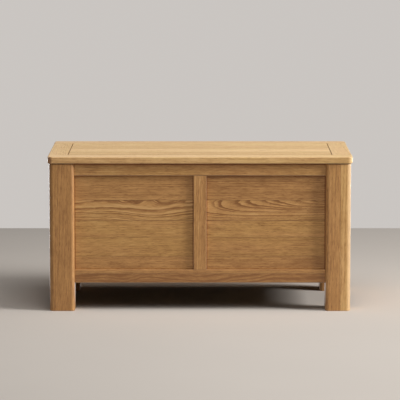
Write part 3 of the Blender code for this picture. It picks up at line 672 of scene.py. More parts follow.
between_legs = {
    "x": (corners("leg_front_left")[1][0] + TOUCH, corners("leg_front_right")[0][0] - TOUCH),
    "y": (corners("leg_front_left")[1][1] + TOUCH, corners("leg_back_left")[0][1] - TOUCH),
}

for side, axis in SIDES.items():
    for level in ("top", "bottom"):
        node = f"{side}_{level}_rail"
        low, high = corners(node)
        w = AXES[axis][2]
        low[w], high[w] = between_legs[axis]
        if node == "front_bottom_rail":
            joint = high[2] - STRIP_HEIGHT
            rail = [timber(low, (*high[:2], joint), axis, **APRON)]
            rail.append(timber((*low[:2], joint), high, axis, **STRIP))
        else:
            rail = timber(low, high, axis, **RAIL, **RAIL_LOOKS.get(node, {}))
        if level == "top":
            # Painted shadow under the lid: the top of a top rail is marked to be darkened.
            down = high[2] - rail.points[:, 2]
            rail.values["sight"] = np.zeros_like(rail.points)
            rail.values["sight"][:, 1] = np.where(down > TOUCH / 3, 1 - down / RAIL_SHADE_REACH, 0.0)
        piece(f"{node}_timber", rail, OAK_FRAME, node)

for side in ("front", "back"):
    low, high = corners(f"{side}_muntin")
    low[2] = corners(f"{side}_bottom_rail")[1][2] + TOUCH
    high[2] = corners(f"{side}_top_rail")[0][2] - TOUCH
    piece(f"{side}_muntin_timber", timber(low, high, "z", **MUNTIN), OAK_FRAME, f"{side}_muntin")
print("rails between x", np.round(between_legs["x"], 4).tolist())

# %% [markdown]
# ## The panels
# Each panel is glued up from five staves, edge to edge. The second stave from the top is cut flat off its
# log, so it has bold arches, and the others have fine straight lines. The bold stave at the front left has
# many points on its face, because its log place is bent: the grain sways round knots that the saw missed.
# Each point also says how near it is to the frame, where a painted shade darkens the panel.

# %% Five staves to a panel
STAVE_LEVELS = (0.160, 0.219, 0.268, 0.329)
STAVE_LOOKS = (  # from the bottom to the top
    {"cut": "rift", "tone": 0.47, "bold": 0.42, "warm": -0.08, "seam": 0.25},
    {"cut": "quarter", "tone": 0.40, "bold": 0.42, "warm": 0.12, "seam": 0.30},
    {"cut": "rift", "tone": 0.29, "bold": 0.48, "warm": -0.02, "seam": 0.60},
    {"cut": "flat", "tone": 0.18, "bold": 1.75, "warm": -0.05, "seam": 0.75},
    {"cut": "rift", "tone": 0.38, "bold": 0.60, "warm": -0.18, "seam": 0.30},
)
STAVE_SHAPE = {"edges": 0.00025, "ends": 0.0003, "steps": 2, "support": 0.0012}
PANEL_TONES = {"front_panel_right": 0.11}
BOLD_STAVE = 3
BOLD_GRAIN = {
    "front_panel_left": {
        "heart": (0.0745, -0.034), "lean": (0.0, 0.0), "stations": 120, "across": (1, 16),
        "bends": (
            (0.060, 0.080, 0.0, 1.0, 0.016), (-0.031, 0.020, 0.027, 0.009, 0.010),
            (0.006, 0.012, 0.027, 0.009, 0.012), (0.046, 0.024, 0.027, 0.016, -0.012),
            (0.095, 0.028, 0.027, 0.009, 0.006),
        ),
    },
    "front_panel_right": {"heart": (0.0465, -0.030), "lean": (-0.085, -0.07), "stations": 8},
}
IN_GROOVE = 0.0077
PANELS = {f"{side}_panel_{hand}": "x" for side in ("front", "back") for hand in HANDS}
PANELS |= {f"{hand}_panel": "y" for hand in HANDS}

for node, axis in PANELS.items():
    low, high = corners(node)
    levels = (low[2], *STAVE_LEVELS, high[2])
    middle, seen = (low + high) / 2, (high - low) / 2 - IN_GROOVE
    staves = []
    for number, look in enumerate(STAVE_LOOKS):
        bottom, top = levels[number:number + 2]
        grain = BOLD_GRAIN.get(node, {}) if number == BOLD_STAVE else {}
        look = {**look, "tone": look["tone"] + PANEL_TONES.get(node, 0.0), "flip": axis == "y"}
        stave = timber((*low[:2], bottom), (*high[:2], top), axis, **look, **grain, **STAVE_SHAPE)
        # Painted shade: these values darken the panel near its frame and under the top rail.
        stave.values["sight"] = np.zeros_like(stave.points)
        stave.values["sight"][:, :2] = ((stave.points - middle) / seen)[:, [AXES[axis][2], 2]]
        staves.append(stave)
    piece(f"{node}_staves", staves, OAK_PANEL, node)
print(len(PANELS), "panels of", len(STAVE_LOOKS), "staves")

# %% [markdown]
# ## The lid
# The lid is a frame round four boards. Its outer corners are rounded in plan, and its top and bottom edges
# are eased, so the frame pieces are flat slabs carried upwards, with a round corner where the lid has one and
# a nearly square edge where two pieces meet. The boards are rift-sawn and flat-sawn in turn. A groove of two
# millimetres round the field lets them swell in damp weather; from far off it is a thin dark line.

# %% A slab of the lid's frame
LID_CORNER, LID_EDGE, JOINT_EDGE = 0.014, 0.003, 0.0004
LID_PARTS, LID_EASE_STEPS = 12, 5
LID_HEART, LID_LEAN, LID_BOLD = (0.11, 0.10), (0.01, 0.02), 0.45
# The lid's end-grain mark runs round the rounded corner and is kept at the left ends only, where it is also a
# painted shade; the lit right ends have none.
END_FULL, END_SHOWN = 2.5, (1.0, 0.0)
FRONT_REACH, FRONT_TONE, FRONT_TONE_RISE = 0.006, 0.22, 1.1


def slab(low, high, grain, radii, eases, tone, warm, handled=False):
    """A flat slab carried upwards, whose grain runs along X or Y.

    End grain is marked by the distance to the two sides that the grain runs out of, and fades on the way
    round to the top. END_SHOWN says how far it shows at the low side and at the high one: it is kept at the
    low side, the left end of a rail, which turns away from the lamp, so that there it is also a painted
    shade, and it is left out at the high side, where the lamp lights the corner. When asked, the front face
    is made darker, most of all towards its ends: its tone is FRONT_TONE + FRONT_TONE_RISE * x * x, and it
    fades over FRONT_REACH from the front.
    """
    shell = eased_bar(
        low, high, "z", edges=radii, ends=eases, steps=ROUND_STEPS, end_steps=LID_EASE_STEPS,
        across=(LID_PARTS, 1),
    )
    side = 1 - shell.values["marks"][:, 1]
    w = AXES[grain][2]
    along = shell.points[:, w]
    to_end = np.minimum(along - low[w], high[w] - along)
    shown = np.where(along < (low[w] + high[w]) / 2, *END_SHOWN)
    shell.values["marks"][:, 1] = shown * side * np.clip(END_FULL * (1 - to_end / LID_CORNER), 0.0, 1.0)
    shell = sawn(shell, grain, LID_HEART, LID_LEAN, tone, LID_BOLD, warm)
    # The front face is made darker, most of all towards its ends.
    if handled:
        to_front = shell.points[:, 1] - low[1]
        added_tone = FRONT_TONE + FRONT_TONE_RISE * shell.points[:, 0] ** 2
        shell.values["board"][:, 0] += added_tone * side * np.clip(1 - to_front / FRONT_REACH, 0.0, 1.0)
    return shell


print("lid corners of", LID_CORNER * 1000, "mm")

# %% Lid frame and boards
LID_LOOKS = {
    "front_rail": {"tone": 0.07, "warm": -0.05, "handled": True}, "back_rail": {"tone": 0.24, "warm": -0.10},
    "end": {"tone": 0.21, "warm": 0.05},
}
LID_WARMTH_DRIFT = 0.7
LID_GROOVE = 0.0020
BOARD_TONES = (0.28, 0.0, 0.27, 0.10)
BOARD = {"bold": 0.70, "seam": 0.8, "flip": True, "edges": JOINT_EDGE, "ends": JOINT_EDGE, "stations": 2}

radii = np.array([LID_CORNER, LID_CORNER, JOINT_EDGE, JOINT_EDGE])
eases = np.array([LID_EDGE, LID_EDGE, JOINT_EDGE, LID_EDGE])
rail = slab(*corners("lid_front_rail"), "x", radii, eases, **LID_LOOKS["front_rail"])
rail.values["board"][:, 2] += LID_WARMTH_DRIFT * rail.points[:, 0]
piece("lid_front_rail_timber", rail, OAK_LID, "lid_front_rail")
radii, eases = radii[[2, 3, 0, 1]], eases[[2, 1, 0, 3]]
rail = slab(*corners("lid_back_rail"), "x", radii, eases, **LID_LOOKS["back_rail"])
piece("lid_back_rail_timber", rail, OAK_LID, "lid_back_rail")

field_low = corners("lid_front_rail")[1][1] + TOUCH
field_high = corners("lid_back_rail")[0][1] - TOUCH
for hand in HANDS:
    node = f"lid_{hand}_end"
    low, high = corners(node)
    low[1], high[1] = field_low, field_high
    eases = np.full(4, JOINT_EDGE)
    eases[3 if hand == "left" else 1] = LID_EDGE
    end_piece = slab(low, high, "y", np.full(4, JOINT_EDGE), eases, **LID_LOOKS["end"])
    piece(f"{node}_timber", end_piece, OAK_LID, node)

board_x = corners("lid_left_end")[1][0] + LID_GROOVE, corners("lid_right_end")[0][0] - LID_GROOVE
board_y = np.linspace(field_low + LID_GROOVE, field_high - LID_GROOVE, len(BOARD_TONES) + 1)
for number, tone in enumerate(BOARD_TONES, 1):
    node = f"lid_board_{number}"
    low, high = corners(node)
    low[:2] = board_x[0], board_y[number - 1] + TOUCH / 2
    high[:2] = board_x[1], board_y[number] - TOUCH / 2
    cut = ("flat", "rift")[number % 2]
    piece(f"{node}_timber", timber(low, high, "x", cut, tone=tone, **BOARD), OAK_LID, node)
print(len(BOARD_TONES), "boards, each", round((high[1] - low[1]) * 1000, 1), "mm wide")

# %% [markdown]
# ## Softwood
# The floor of such a chest is plain planed softwood, because nobody sees it. Its rings are the reverse of
# oak's: pale and wide in spring, then darkening slowly to a hard brown line. Branches leave knots, and the
# rings bend round them. A Voronoi texture scatters the knots through the log, and the distance to the nearest
# one both pushes the rings aside and darkens the middle. The underside is coloured dark, a painted shade that
# keeps the gap under the chest dark.

# %% The softwood recipe
PINE_RING, PINE_SWAY = 0.0042, 0.016
KNOT_CELLS, KNOT_SCATTER = (5.5, 17.0, 17.0), 0.9
KNOT_REACH, KNOT_PUSH, KNOT_EDGE = 0.42, 0.016, (0.085, 0.05)
AUTUMN_STOPS = [(0.0, 0.15), (0.10, 0.0), (0.55, 0.22), (0.86, 1.0), (0.95, 0.85), (1.0, 0.15)]
AUTUMN_SHARE, PINE_FIBRE_SHARE = 0.40, 0.30
PINE_SHADES = [(0.0, (0.74, 0.55, 0.32)), (0.5, (0.62, 0.41, 0.20)), (1.0, (0.40, 0.22, 0.085))]
KNOT_BROWN, PAINTED_UNDERSIDE_SHADE = (0.185, 0.082, 0.030), (0.16, 0.19, 0.26)
PINE_END_SHARE, PINE_END = 0.7, (0.70, 0.62, 0.52)
AUTUMN_HEIGHT, FIBRE_HEIGHT = 0.6, 0.4
PINE_GLOSS_DRIFT, PINE_ROUGHNESS = 0.2, 0.55


def softwood(name):
    """Rings that darken towards each year's end, pushed aside by scattered knots."""
    recipe = Recipe(name)
    log = recipe.attribute("log")
    tone, _, underside = recipe.parts("board")
    end = recipe.parts("marks")[1]
    cells = recipe.vector("MULTIPLY", log, KNOT_CELLS)
    scatter = {"Vector": cells, "Scale": 1.0, "Randomness": KNOT_SCATTER}
    knot = recipe.add("TexVoronoi", "Distance", scatter)
    radius = recipe.vector("LENGTH", recipe.vector("MULTIPLY", log, ACROSS_LOG))
    radius = radius + recipe.noise(log, along=2.0, across=9.0, detail=2.0) * PINE_SWAY
    radius = radius + recipe.span(knot, 0.0, KNOT_REACH, KNOT_PUSH, 0.0)
    autumn = recipe.curve(recipe.calc("FRACT", recipe.calc("DIVIDE", radius, PINE_RING)), AUTUMN_STOPS)
    fibre = recipe.noise(log, along=9.0, across=420.0, detail=3.0)
    dark = autumn * AUTUMN_SHARE + tone + (fibre - NOISE_MEAN) * PINE_FIBRE_SHARE
    colour = recipe.curve(dark, PINE_SHADES)
    colour = recipe.mix(recipe.span(knot, *KNOT_EDGE), colour, KNOT_BROWN)
    colour = recipe.tint(end * PINE_END_SHARE, colour, PINE_END)
    # Painted shade: the underside is coloured dark so that the gap under the chest stays dark.
    colour = recipe.tint(underside, colour, PAINTED_UNDERSIDE_SHADE)
    gloss = fibre * PINE_GLOSS_DRIFT + PINE_ROUGHNESS
    relief = recipe.relief(autumn * AUTUMN_HEIGHT + fibre * FIBRE_HEIGHT, distance=0.00015, strength=0.5)
    return recipe.done(Base_Color=colour, Roughness=gloss, Normal=relief)


SOFTWOOD = softwood("softwood")
print("softwood rings of", PINE_RING * 1000, "mm")

# %% Floor boards, cleats and bearer
PLANK_EDGE = 0.0009
PLANK = {"cut": "flat", "edges": PLANK_EDGE, "ends": 0.0005, "steps": 3}
FLOOR_BOARDS = 5
FLOOR_NODES = {f"floor_board_{number}": "x" for number in range(1, FLOOR_BOARDS + 1)}
FLOOR_NODES |= {f"floor_cleat_{side}": axis for side, axis in SIDES.items()} | {"floor_bearer": "y"}

for node, axis in FLOOR_NODES.items():
    low, high = corners(node)
    plank = timber(low, high, axis, flip=axis == "x", **PLANK)
    # The lowest face is marked for the painted shade of the underside.
    plank.values["board"][:, 2] = plank.points[:, 2] < low[2] + PLANK_EDGE / 2
    piece(f"{node}_plank", plank, SOFTWOOD, node)
print(len(FLOOR_NODES), "floor timbers")

# %% [markdown]
# ## Metal, paint and rubber
# Satin brass darkens in clouds and carries fine drawn lines; zinc plating is duller and has a faint blue and
# yellow bloom; chromed rod is ground nearly to a mirror; black paint has the fine ripple of a sprayed coat.
# One recipe with different numbers covers the metals, because what differs is colour, grain and polish.

# %% Finishes of the hardware
CLOUD_EDGE, SPECK_EDGE, COAT_DUST_EDGE = (0.35, 0.70), (0.66, 0.78), (0.40, 0.75)
LINE_SHARE = 0.35
LINE_GLOSS, CLOUD_GLOSS, SPECK_GLOSS, COAT_DUST_GLOSS = 0.16, 0.10, 0.15, 0.20


def metal(name, bright, dull, roughness, along, across):
    """Bright and dull metal in slow clouds, with drawn lines in cells of their own along and across."""
    recipe = Recipe(name, Metallic=1.0)
    place = recipe.place()
    cloud = recipe.noise(place, along=55.0, across=55.0, detail=4.0)
    lines = recipe.noise(place, along, across, detail=3.0)
    specks = recipe.span(recipe.noise(place, along=900.0, across=900.0, detail=1.0), *SPECK_EDGE)
    colour = recipe.mix(recipe.span(cloud, *CLOUD_EDGE), bright, dull)
    colour = recipe.mix(lines * LINE_SHARE, colour, dull)
    gloss = lines * LINE_GLOSS + (roughness - LINE_GLOSS / 2) + cloud * CLOUD_GLOSS + specks * SPECK_GLOSS
    relief = recipe.relief(lines, distance=0.000006, strength=0.5)
    return recipe.done(Base_Color=colour, Roughness=gloss, Normal=relief)


def coating(name, colour, worn, roughness, ripple, depth):
    """A coat with a fine ripple, a little paler where a dusting and touch have dulled it."""
    recipe = Recipe(name)
    place = recipe.place()
    dust_and_painted_shade = recipe.noise(place, along=40.0, across=40.0, detail=4.0)
    peel = recipe.noise(place, ripple, ripple, detail=2.0)
    shade = recipe.mix(recipe.span(dust_and_painted_shade, *COAT_DUST_EDGE), colour, worn)
    gloss = dust_and_painted_shade * COAT_DUST_GLOSS + (roughness - COAT_DUST_GLOSS / 2)
    return recipe.done(Base_Color=shade, Roughness=gloss, Normal=recipe.relief(peel, depth, strength=0.6))


BRASS = metal(
    "satin_brass", (0.76, 0.56, 0.25), (0.50, 0.33, 0.12), roughness=0.32, along=30.0, across=1500.0,
)
ZINC = metal(
    "zinc_plate", (0.66, 0.68, 0.70), (0.52, 0.50, 0.44), roughness=0.36, along=700.0, across=700.0,
)
CHROME = metal(
    "ground_chrome", (0.80, 0.80, 0.81), (0.66, 0.66, 0.68), roughness=0.12, along=1400.0, across=300.0,
)
BLACK_PAINT = coating(
    "black_paint", (0.016, 0.016, 0.018), (0.034, 0.033, 0.032), roughness=0.36, ripple=1300.0, depth=0.00002,
)
RUBBER = coating(
    "rubber", (0.030, 0.029, 0.028), (0.060, 0.057, 0.053), roughness=0.74, ripple=2600.0, depth=0.00003,
)
print("finishes:", ", ".join(finish.name for finish in (BRASS, ZINC, CHROME, BLACK_PAINT, RUBBER)))

# %% [markdown]
# ## Turned metal
# Pins, studs, rods and tubes come off a lathe: a profile turned round a line. Sharp corners never survive
# that, so a second helper bridges each corner of a profile with a short parabola before it is turned. A
# cylinder with a bevel would give one radius for all; here each profile says what the lathe tool would cut.

# %% Profiles and a lathe
PIN_POINT = 0.0005
MOST_CUT_BACK, NO_LENGTH = 0.45, 1e-9


def eased_profile(profile, radius, steps=3, closed=False):
    """The profile with each corner cut back by radius on both sides and bridged by a parabola.

    The parabola is (1 - t) * (1 - t) * start + 2 * t * (1 - t) * corner + t * t * stop, for t from 0 to 1.
    """
    points = np.array(profile, float)

    def towards(other):
        gap = other - points
        length = np.maximum(np.linalg.norm(gap, axis=1, keepdims=True), NO_LENGTH)
        return points + gap * np.minimum(radius / length, MOST_CUT_BACK)

    start, stop = towards(np.roll(points, 1, 0)), towards(np.roll(points, -1, 0))
    t = np.linspace(0.0, 1.0, steps + 1)[:, None, None]
    arcs = (1 - t) ** 2 * start + 2 * t * (1 - t) * points + t**2 * stop
    arcs = arcs.transpose(1, 0, 2)
    if closed:
        return arcs.reshape(-1, 2)
    return np.concatenate([points[:1], arcs[1:-1].reshape(-1, 2), points[-1:]])


def lathe(profile, centre, direction, steps=40, closed=False):
    """A profile of (along, out) points turned round a line: centre + along * direction + out * spoke.

    The spoke goes once round the line. A profile that is closed on itself makes a ring.
    """
    along, out = np.array(profile, float).T[..., None, None]
    direction = np.array(direction, float) / np.linalg.norm(direction)
    side = np.cross(direction, np.eye(3)[np.argmin(np.abs(direction))])
    side /= np.linalg.norm(side)
    turn = np.linspace(0.0, 2 * math.pi, steps, endpoint=False)[:, None]
    spokes = np.cos(turn) * side + np.sin(turn) * np.cross(direction, side)
    return Shell(np.asarray(centre) + along * direction + out * spokes, closed)


def dome(start, length, radius, steps=6):
    """Profile points of a rounded end: a quarter ellipse from the full radius to a small flat."""
    turn = np.linspace(0.0, math.pi / 2, steps + 1)
    out = PIN_POINT + (radius - PIN_POINT) * np.cos(turn)
    return np.stack([start + length * np.sin(turn), out], 1)


ring = lathe([(0, 1), (1, 1), (1, 2)], (0, 0, 0), (0, 0, 1), closed=True)
print("a turned ring has", len(ring.points), "points")

# %% [markdown]
# ## Screw heads
# Countersunk screws hold the hinges, the strut brackets and the cleats. A head is a shallow dome with a cross
# pressed into it. The dome is a polar grid, a function of radius and angle, and the cross is taken off its
# height, so no cutting is needed. A Boolean cut would do it too, but slower and with ragged faces.

# %% Screw heads, one and in rows
CROSS_HALF_WIDTH, CROSS_HALF_LENGTH = 0.13, 0.60
CROSS_SLOPE, CROSS_DEPTH = 0.07, 0.42
HEAD_RINGS, HEAD_SPOKES, HEAD_RIM = np.linspace(0.05, 1.0, 15), 56, 0.00003
CONE_OUT, CONE_HEIGHT = (0.6, 0.1), np.array([[-0.6], [-1.1]])
SCREWS = {  # radius, height of the dome, finish and slot
    "hinge": (0.0031, 0.00008, BRASS, "brass"),
    "bracket": (0.0030, 0.0003, ZINC, "zinc_steel"),
    "cleat": (0.0034, 0.0002, ZINC, "zinc_steel"),
}


def screw(centre, direction, radius, dome_height):
    """A countersunk head of one radius: height = rim + dome * (1 - r * r) - depth * cross.

    The cross is 1 where a place lies within half a slot of one of two crossed lines, and eases to 0 over
    a short slope. Past the rim the profile goes down a cone into the plate.
    """
    direction = np.array(direction, float)
    side = np.cross(direction, np.eye(3)[np.argmin(np.abs(direction))])
    upright = np.cross(direction, side)
    share = np.r_[HEAD_RINGS, CONE_OUT][:, None]
    turn = np.linspace(0.0, 2 * math.pi, HEAD_SPOKES, endpoint=False)
    p, q = share * np.cos(turn), share * np.sin(turn)

    def slope(distance):
        return np.clip(distance / CROSS_SLOPE, 0.0, 1.0)

    def slot(a, b):
        return slope(CROSS_HALF_WIDTH + CROSS_SLOPE - np.abs(a)) * slope(CROSS_HALF_LENGTH - np.abs(b))

    cross = np.maximum(slot(p, q), slot(q, p))
    height = HEAD_RIM + dome_height * (1 - share**2) - CROSS_DEPTH * radius * cross
    height[len(HEAD_RINGS):] = CONE_HEIGHT * radius
    flat = radius * (p[..., None] * side + q[..., None] * upright)
    return Shell(np.asarray(centre) + flat + height[..., None] * direction)


def screw_row(name, kind, places, direction, body):
    """Screws of one kind at some places, as one piece."""
    radius, dome_height, finish, slot = SCREWS[kind]
    heads = [screw(place, direction, radius, dome_height) for place in places]
    piece(name, heads, finish, body=body, slot=slot)


print("screws for", ", ".join(SCREWS))

# %% [markdown]
# ## The hinges
# Each hinge is a pair of brass leaves let into the lid and the back rail. Their edges are rolled into
# knuckles round one pin: three on the fixed leaf, two on the lid's. A knuckle is a comma shape, a circle with
# a short tab to its leaf, carried along the pin.

# %% Leaves, knuckles, pins and hinge screws
LEAF_THICKNESS, LEAF_GAP = 0.0016, 0.0004
LEAF_CORNER, LEAF_ARRIS = 0.0022, 0.0002
KNUCKLES, KNUCKLE_RADIUS, KNUCKLE_EASE, KNUCKLE_STEPS = 5, 0.004, 0.0003, 33
PIN_RADIUS, PIN_HEAD_RADIUS, PIN_HEAD = 0.0022, 0.0032, 0.0015
HINGE_SCREW_IN, HINGE_SCREW_SPACING = 0.0095, 0.0245
hinge_axis = pivots["lid_hinge"]
leaf_edge = corners("lid_back_rail")[1][1] - TOUCH
near, far = LEAF_GAP / 2, LEAF_GAP / 2 + LEAF_THICKNESS


def knuckle(x0, x1, side):
    """A circle round the pin with a tab to the leaf, below (side -1) or above (side 1) the hinge axis.

    The arc goes the long way round, from where the tab's outer face leaves the circle to where its inner
    face does. The section shrinks a little at both ends.
    """
    first = math.asin(far / KNUCKLE_RADIUS) - math.pi
    last = math.pi + math.asin(near / KNUCKLE_RADIUS)
    turn = np.linspace(first, last, KNUCKLE_STEPS)
    tab = leaf_edge - hinge_axis[1] - 2 * TOUCH
    across = np.r_[KNUCKLE_RADIUS * np.cos(turn), tab, tab]
    up = np.r_[KNUCKLE_RADIUS * np.sin(turn), -near, -far] * -side
    end = 1 - KNUCKLE_EASE / KNUCKLE_RADIUS
    shrink = np.array([end, 1.0, 1.0, end])[:, None]
    along = np.array([x0, x0 + KNUCKLE_EASE, x1 - KNUCKLE_EASE, x1])[:, None]
    rings = np.broadcast_arrays(along, hinge_axis[1] + shrink * across, hinge_axis[2] + shrink * up)
    return Shell(np.stack(rings, -1))


for hand in HANDS:
    low, high = corners(f"hinge_{hand}_fixed_leaf")
    x0, x1 = low[0] - TOUCH / 2, high[0] + TOUCH / 2
    centre = (x0 + x1) / 2
    joints = np.linspace(x0, x1, KNUCKLES + 1)
    for first, (part, side) in enumerate((("fixed", -1), ("moving", 1))):
        node = f"hinge_{hand}_{part}_leaf"
        z0, z1 = np.sort(hinge_axis[2] + side * np.array([near, far]))
        leaf = eased_bar(
            (x0, low[1], z0), (x1, leaf_edge, z1), "z", support=LEAF_ARRIS,
            edges=(LEAF_CORNER, LEAF_CORNER, LEAF_ARRIS, LEAF_ARRIS), ends=LEAF_ARRIS,
        )
        spans = zip(joints[first:-1:2] + TOUCH / 2, joints[first + 1::2] - TOUCH / 2)
        rolled = [knuckle(start, stop, side) for start, stop in spans]
        piece(f"hinge_{hand}_{part}_brass", [leaf, *rolled], BRASS, node)
        y, z = low[1] + HINGE_SCREW_IN, z1 if side < 0 else z0
        places = [(centre + k * HINGE_SCREW_SPACING, y, z) for k in (-1, 0, 1)]
        screw_row(f"hinge_{hand}_{part}_screws", "hinge", places, (0, 0, -side), body_of[node])
    neck = (x1 - x0) / 2 + TOUCH
    half = np.r_[[(neck, PIN_RADIUS)], dome(neck, PIN_HEAD, PIN_HEAD_RADIUS)]
    pin = lathe(np.r_[half[::-1] * (-1, 1), half], (centre, *hinge_axis[1:]), (1, 0, 0))
    piece(f"hinge_{hand}_pin_brass", pin, BRASS, f"hinge_{hand}_pin")
print("hinges", round((x1 - x0) * 1000), "mm long")

# %% [markdown]
# ## The gas struts
# A strut holds the lid open and slows it as it closes. Its tube hangs from the lid and its rod stands on the
# back leg, each on a stud through an eye. The profile of the tube has the two marks that such tubes have:
# rolled ends, and a groove pressed in behind the seal.

# %% Tubes, rods and eyes
STUD_RADIUS = 0.0035
EYE_RADIUS, EYE_WIDTH, EYE_EASE, EYE_STEPS = 0.0075, 0.010, 0.0007, 48
NECK_LENGTH, NECK_RADIUS, NECK_SUNK, NECK_STEPS = 0.014, 0.0045, 0.0018, 32
SHOULDER_LENGTH, SHOULDER_STEP, TURNED_EASE = 0.0030, 0.0007, 0.0003
TUBE_RADIUS, TUBE_WALL, TUBE_END, TUBE_EASE, TUBE_STEPS = 0.0075, 0.0012, 0.006, 0.0012, 48
GLAND_LENGTH = 0.009
GROOVE_FROM_MOUTH, GROOVE_WIDTH, GROOVE_DEPTH = 0.0130, 0.0026, 0.0007
ROD_RADIUS, ROD_SHOWN, ROD_EASE, PISTON, PISTON_GAP = 0.004, 0.006, 0.0004, 0.008, 0.002


def eye(centre, direction):
    """A ring about X, and a shouldered neck from the ring along the strut."""
    half, bore = EYE_WIDTH / 2, STUD_RADIUS + TOUCH
    ring = [(-half, bore), (half, bore), (half, EYE_RADIUS), (-half, EYE_RADIUS)]
    start, shoulder = EYE_RADIUS - NECK_SUNK, NECK_LENGTH - SHOULDER_LENGTH
    waist = NECK_RADIUS - SHOULDER_STEP
    neck = [
        (start, PIN_POINT), (start, waist), (shoulder, waist), (shoulder, NECK_RADIUS),
        (NECK_LENGTH, NECK_RADIUS), (NECK_LENGTH, PIN_POINT),
    ]
    return [
        lathe(eased_profile(ring, EYE_EASE, closed=True), centre, (1, 0, 0), EYE_STEPS, closed=True),
        lathe(eased_profile(neck, TURNED_EASE), centre, direction, NECK_STEPS),
    ]


for hand in HANDS:
    foot, head = pivots[f"{hand}_rod_pivot"], pivots[f"{hand}_tube_pivot"]
    closed_length = np.linalg.norm(head - foot)
    up = (head - foot) / closed_length
    mouth = closed_length - NECK_LENGTH - ROD_SHOWN
    bore, gland, start = TUBE_RADIUS - TUBE_WALL, ROD_RADIUS + TOUCH, NECK_LENGTH + TOUCH
    groove = mouth - GROOVE_FROM_MOUTH
    barrel = [
        (start, PIN_POINT), (start, TUBE_RADIUS), (groove - GROOVE_WIDTH, TUBE_RADIUS),
        (groove - GROOVE_WIDTH / 2, TUBE_RADIUS - GROOVE_DEPTH), (groove, TUBE_RADIUS),
        (mouth, TUBE_RADIUS), (mouth, gland), (mouth - GLAND_LENGTH, gland), (mouth - GLAND_LENGTH, bore),
        (NECK_LENGTH + TUBE_END, bore), (NECK_LENGTH + TUBE_END, PIN_POINT),
    ]
    tube = lathe(eased_profile(barrel, TUBE_EASE), head, -up, TUBE_STEPS)
    piece(f"strut_{hand}_barrel", tube, BLACK_PAINT, f"strut_{hand}_tube")
    piece(f"strut_{hand}_tube_eye", eye(head, -up), ZINC, body=f"{hand}_tube", slot="zinc_steel")

    rod_end = closed_length - NECK_LENGTH - TUBE_END - PISTON_GAP
    piston = rod_end - PISTON
    shaft = [
        (start, PIN_POINT), (start, ROD_RADIUS), (piston, ROD_RADIUS), (piston, bore - TOUCH),
        (rod_end, bore - TOUCH), (rod_end, PIN_POINT),
    ]
    rod = lathe(eased_profile(shaft, ROD_EASE), foot, up)
    piece(f"strut_{hand}_shaft", rod, CHROME, f"strut_{hand}_rod")
    piece(f"strut_{hand}_rod_eye", eye(foot, up), ZINC, body=f"{hand}_rod", slot="zinc_steel")
print("struts", round(closed_length * 1000, 1), "mm between studs when closed")

# %% [markdown]
# ## Brackets
# The lower bracket is a flat plate on the back leg; the upper one is an angle under the lid. Both are pressed
# from zinc-plated sheet with a stud riveted in, and each is held by two screws.

# %% Plates, studs and their screws
SHEET, HALF_WIDTH, HALF_LENGTH = 0.0025, 0.009, 0.023
SHEET_CORNER, SHEET_ARRIS = 0.0045, 0.0005
SHEET_SHAPE = {"ends": SHEET_ARRIS, "support": 0.0002, "steps": 6}
STUD_HEAD_RADIUS, STUD_HEAD, STUD_SUNK, STANDOFF, STUD_STEPS = 0.0055, 0.002, 0.001, 0.004, 36
BRACKET_SCREW_OUT, BASE_SCREW_SHIFT = 0.0162, 0.001


def stud(place, direction):
    """A collar, a stem through the eye and a domed head, from the plate's face inwards."""
    cap, collar = STANDOFF + EYE_WIDTH + TOUCH, STANDOFF - TOUCH
    brim = cap + STUD_HEAD / 3
    shank = [
        (-STUD_SUNK, PIN_POINT), (-STUD_SUNK, STUD_HEAD_RADIUS), (collar, STUD_HEAD_RADIUS),
        (collar, STUD_RADIUS), (cap, STUD_RADIUS), (cap, STUD_HEAD_RADIUS), (brim, STUD_HEAD_RADIUS),
    ]
    rivet = dome(brim, STUD_HEAD * 2 / 3, STUD_HEAD_RADIUS)[1:]
    return lathe(np.r_[eased_profile(shank, TURNED_EASE), rivet], place, direction, STUD_STEPS)


def bracket(node, shells, middle, along, direction):
    """The zinc piece, and two screws that stand out from the middle by BRACKET_SCREW_OUT each way."""
    piece(f"{node}_zinc", shells, ZINC, node)
    places = [np.array(middle) + k * BRACKET_SCREW_OUT * np.eye(3)[along] for k in (-1, 1)]
    screw_row(f"{node}_screws", "bracket", places, direction, body_of[node])


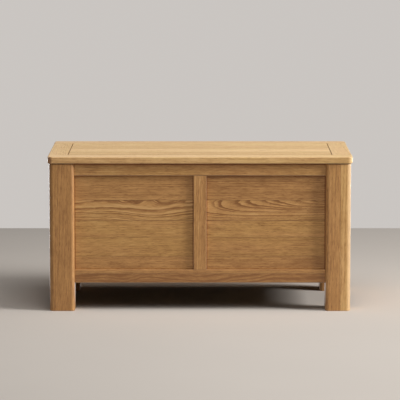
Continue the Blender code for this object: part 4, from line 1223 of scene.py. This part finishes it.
for hand, sign in HANDS.items():
    foot, head = pivots[f"{hand}_rod_pivot"], pivots[f"{hand}_tube_pivot"]
    face = foot[0] + sign * (EYE_WIDTH / 2 + STANDOFF)
    x0, x1 = sorted((face, face + sign * SHEET))
    inward = np.array([-sign, 0, 0])
    seat = (face, *foot[1:])
    lower = eased_bar(
        (x0, foot[1] - HALF_WIDTH, foot[2] - HALF_LENGTH), (x1, foot[1] + HALF_WIDTH, foot[2] + HALF_LENGTH),
        "x", edges=SHEET_CORNER, **SHEET_SHAPE,
    )
    bracket(f"strut_{hand}_lower_bracket", [lower, stud(seat, inward)], seat, 2, inward)

    node = f"strut_{hand}_upper_bracket"
    top = corners(node)[1][2]
    flange = eased_bar(
        (x0, head[1] - HALF_WIDTH, head[2] - HALF_WIDTH), (x1, head[1] + HALF_WIDTH, top), "x",
        edges=(SHEET_CORNER, SHEET_CORNER, SHEET_ARRIS, SHEET_ARRIS), **SHEET_SHAPE,
    )
    x0, x1 = sorted((face + sign * SHEET / 2, face - sign * (2 * HALF_WIDTH - SHEET)))
    free = np.array([sign > 0, sign < 0, sign < 0, sign > 0])
    base = eased_bar(
        (x0, head[1] - HALF_LENGTH, top - SHEET), (x1, head[1] + HALF_LENGTH, top), "z",
        edges=np.where(free, SHEET_CORNER, SHEET_ARRIS), **SHEET_SHAPE,
    )
    middle = ((x0 + x1) / 2 - sign * BASE_SCREW_SHIFT, head[1], top - SHEET)
    bracket(node, [base, flange, stud((face, *head[1:]), inward)], middle, 1, (0, 0, -1))
print("brackets", SHEET * 1000, "mm thick")

# %% [markdown]
# ## Bumpers and cleat screws
# Two rubber bumpers in the front legs take the knock of the lid. Each is a mushroom with its stem in a
# drilled hole, so its profile is turned like the metal. The cleats that carry the floor are screwed to the
# rails from inside.

# %% Mushroom bumpers and the last screws
BUMPER_STEM = 0.003
CLEAT_SCREWS = {  # the direction across the cleat, the side that its screws look to, and how many
    "front": (1, 1, 4), "back": (1, -1, 4), "left": (0, 1, 3), "right": (0, -1, 3),
}

for hand in HANDS:
    node = f"bumper_{hand}"
    low, high = corners(node)
    seat = corners(f"leg_front_{hand}")[1][2] + TOUCH
    rim = (high[0] - low[0]) / 2
    stem = [(low[2], PIN_POINT), (low[2], BUMPER_STEM), (seat, BUMPER_STEM), (seat, rim)]
    crown = dome(seat + TOUCH, high[2] - seat - TOUCH, rim)
    centre = (*(low[:2] + high[:2]) / 2, 0.0)
    piece(f"{node}_rubber", lathe(np.r_[stem, crown], centre, (0, 0, 1)), RUBBER, node)

for side, (across, facing, count) in CLEAT_SCREWS.items():
    low, high = corners(f"floor_cleat_{side}")
    along = 1 - across
    places = np.tile((low + high) / 2, (count, 1))
    places[:, across] = high[across] if facing > 0 else low[across]
    places[:, along] = low[along] + (high[along] - low[along]) * (np.arange(count) + 0.5) / count
    screw_row(f"floor_cleat_{side}_screws", "cleat", places, np.eye(3)[across] * facing, "chest")
print(len(HANDS), "bumpers, and screws in", len(CLEAT_SCREWS), "cleats")

# %% [markdown]
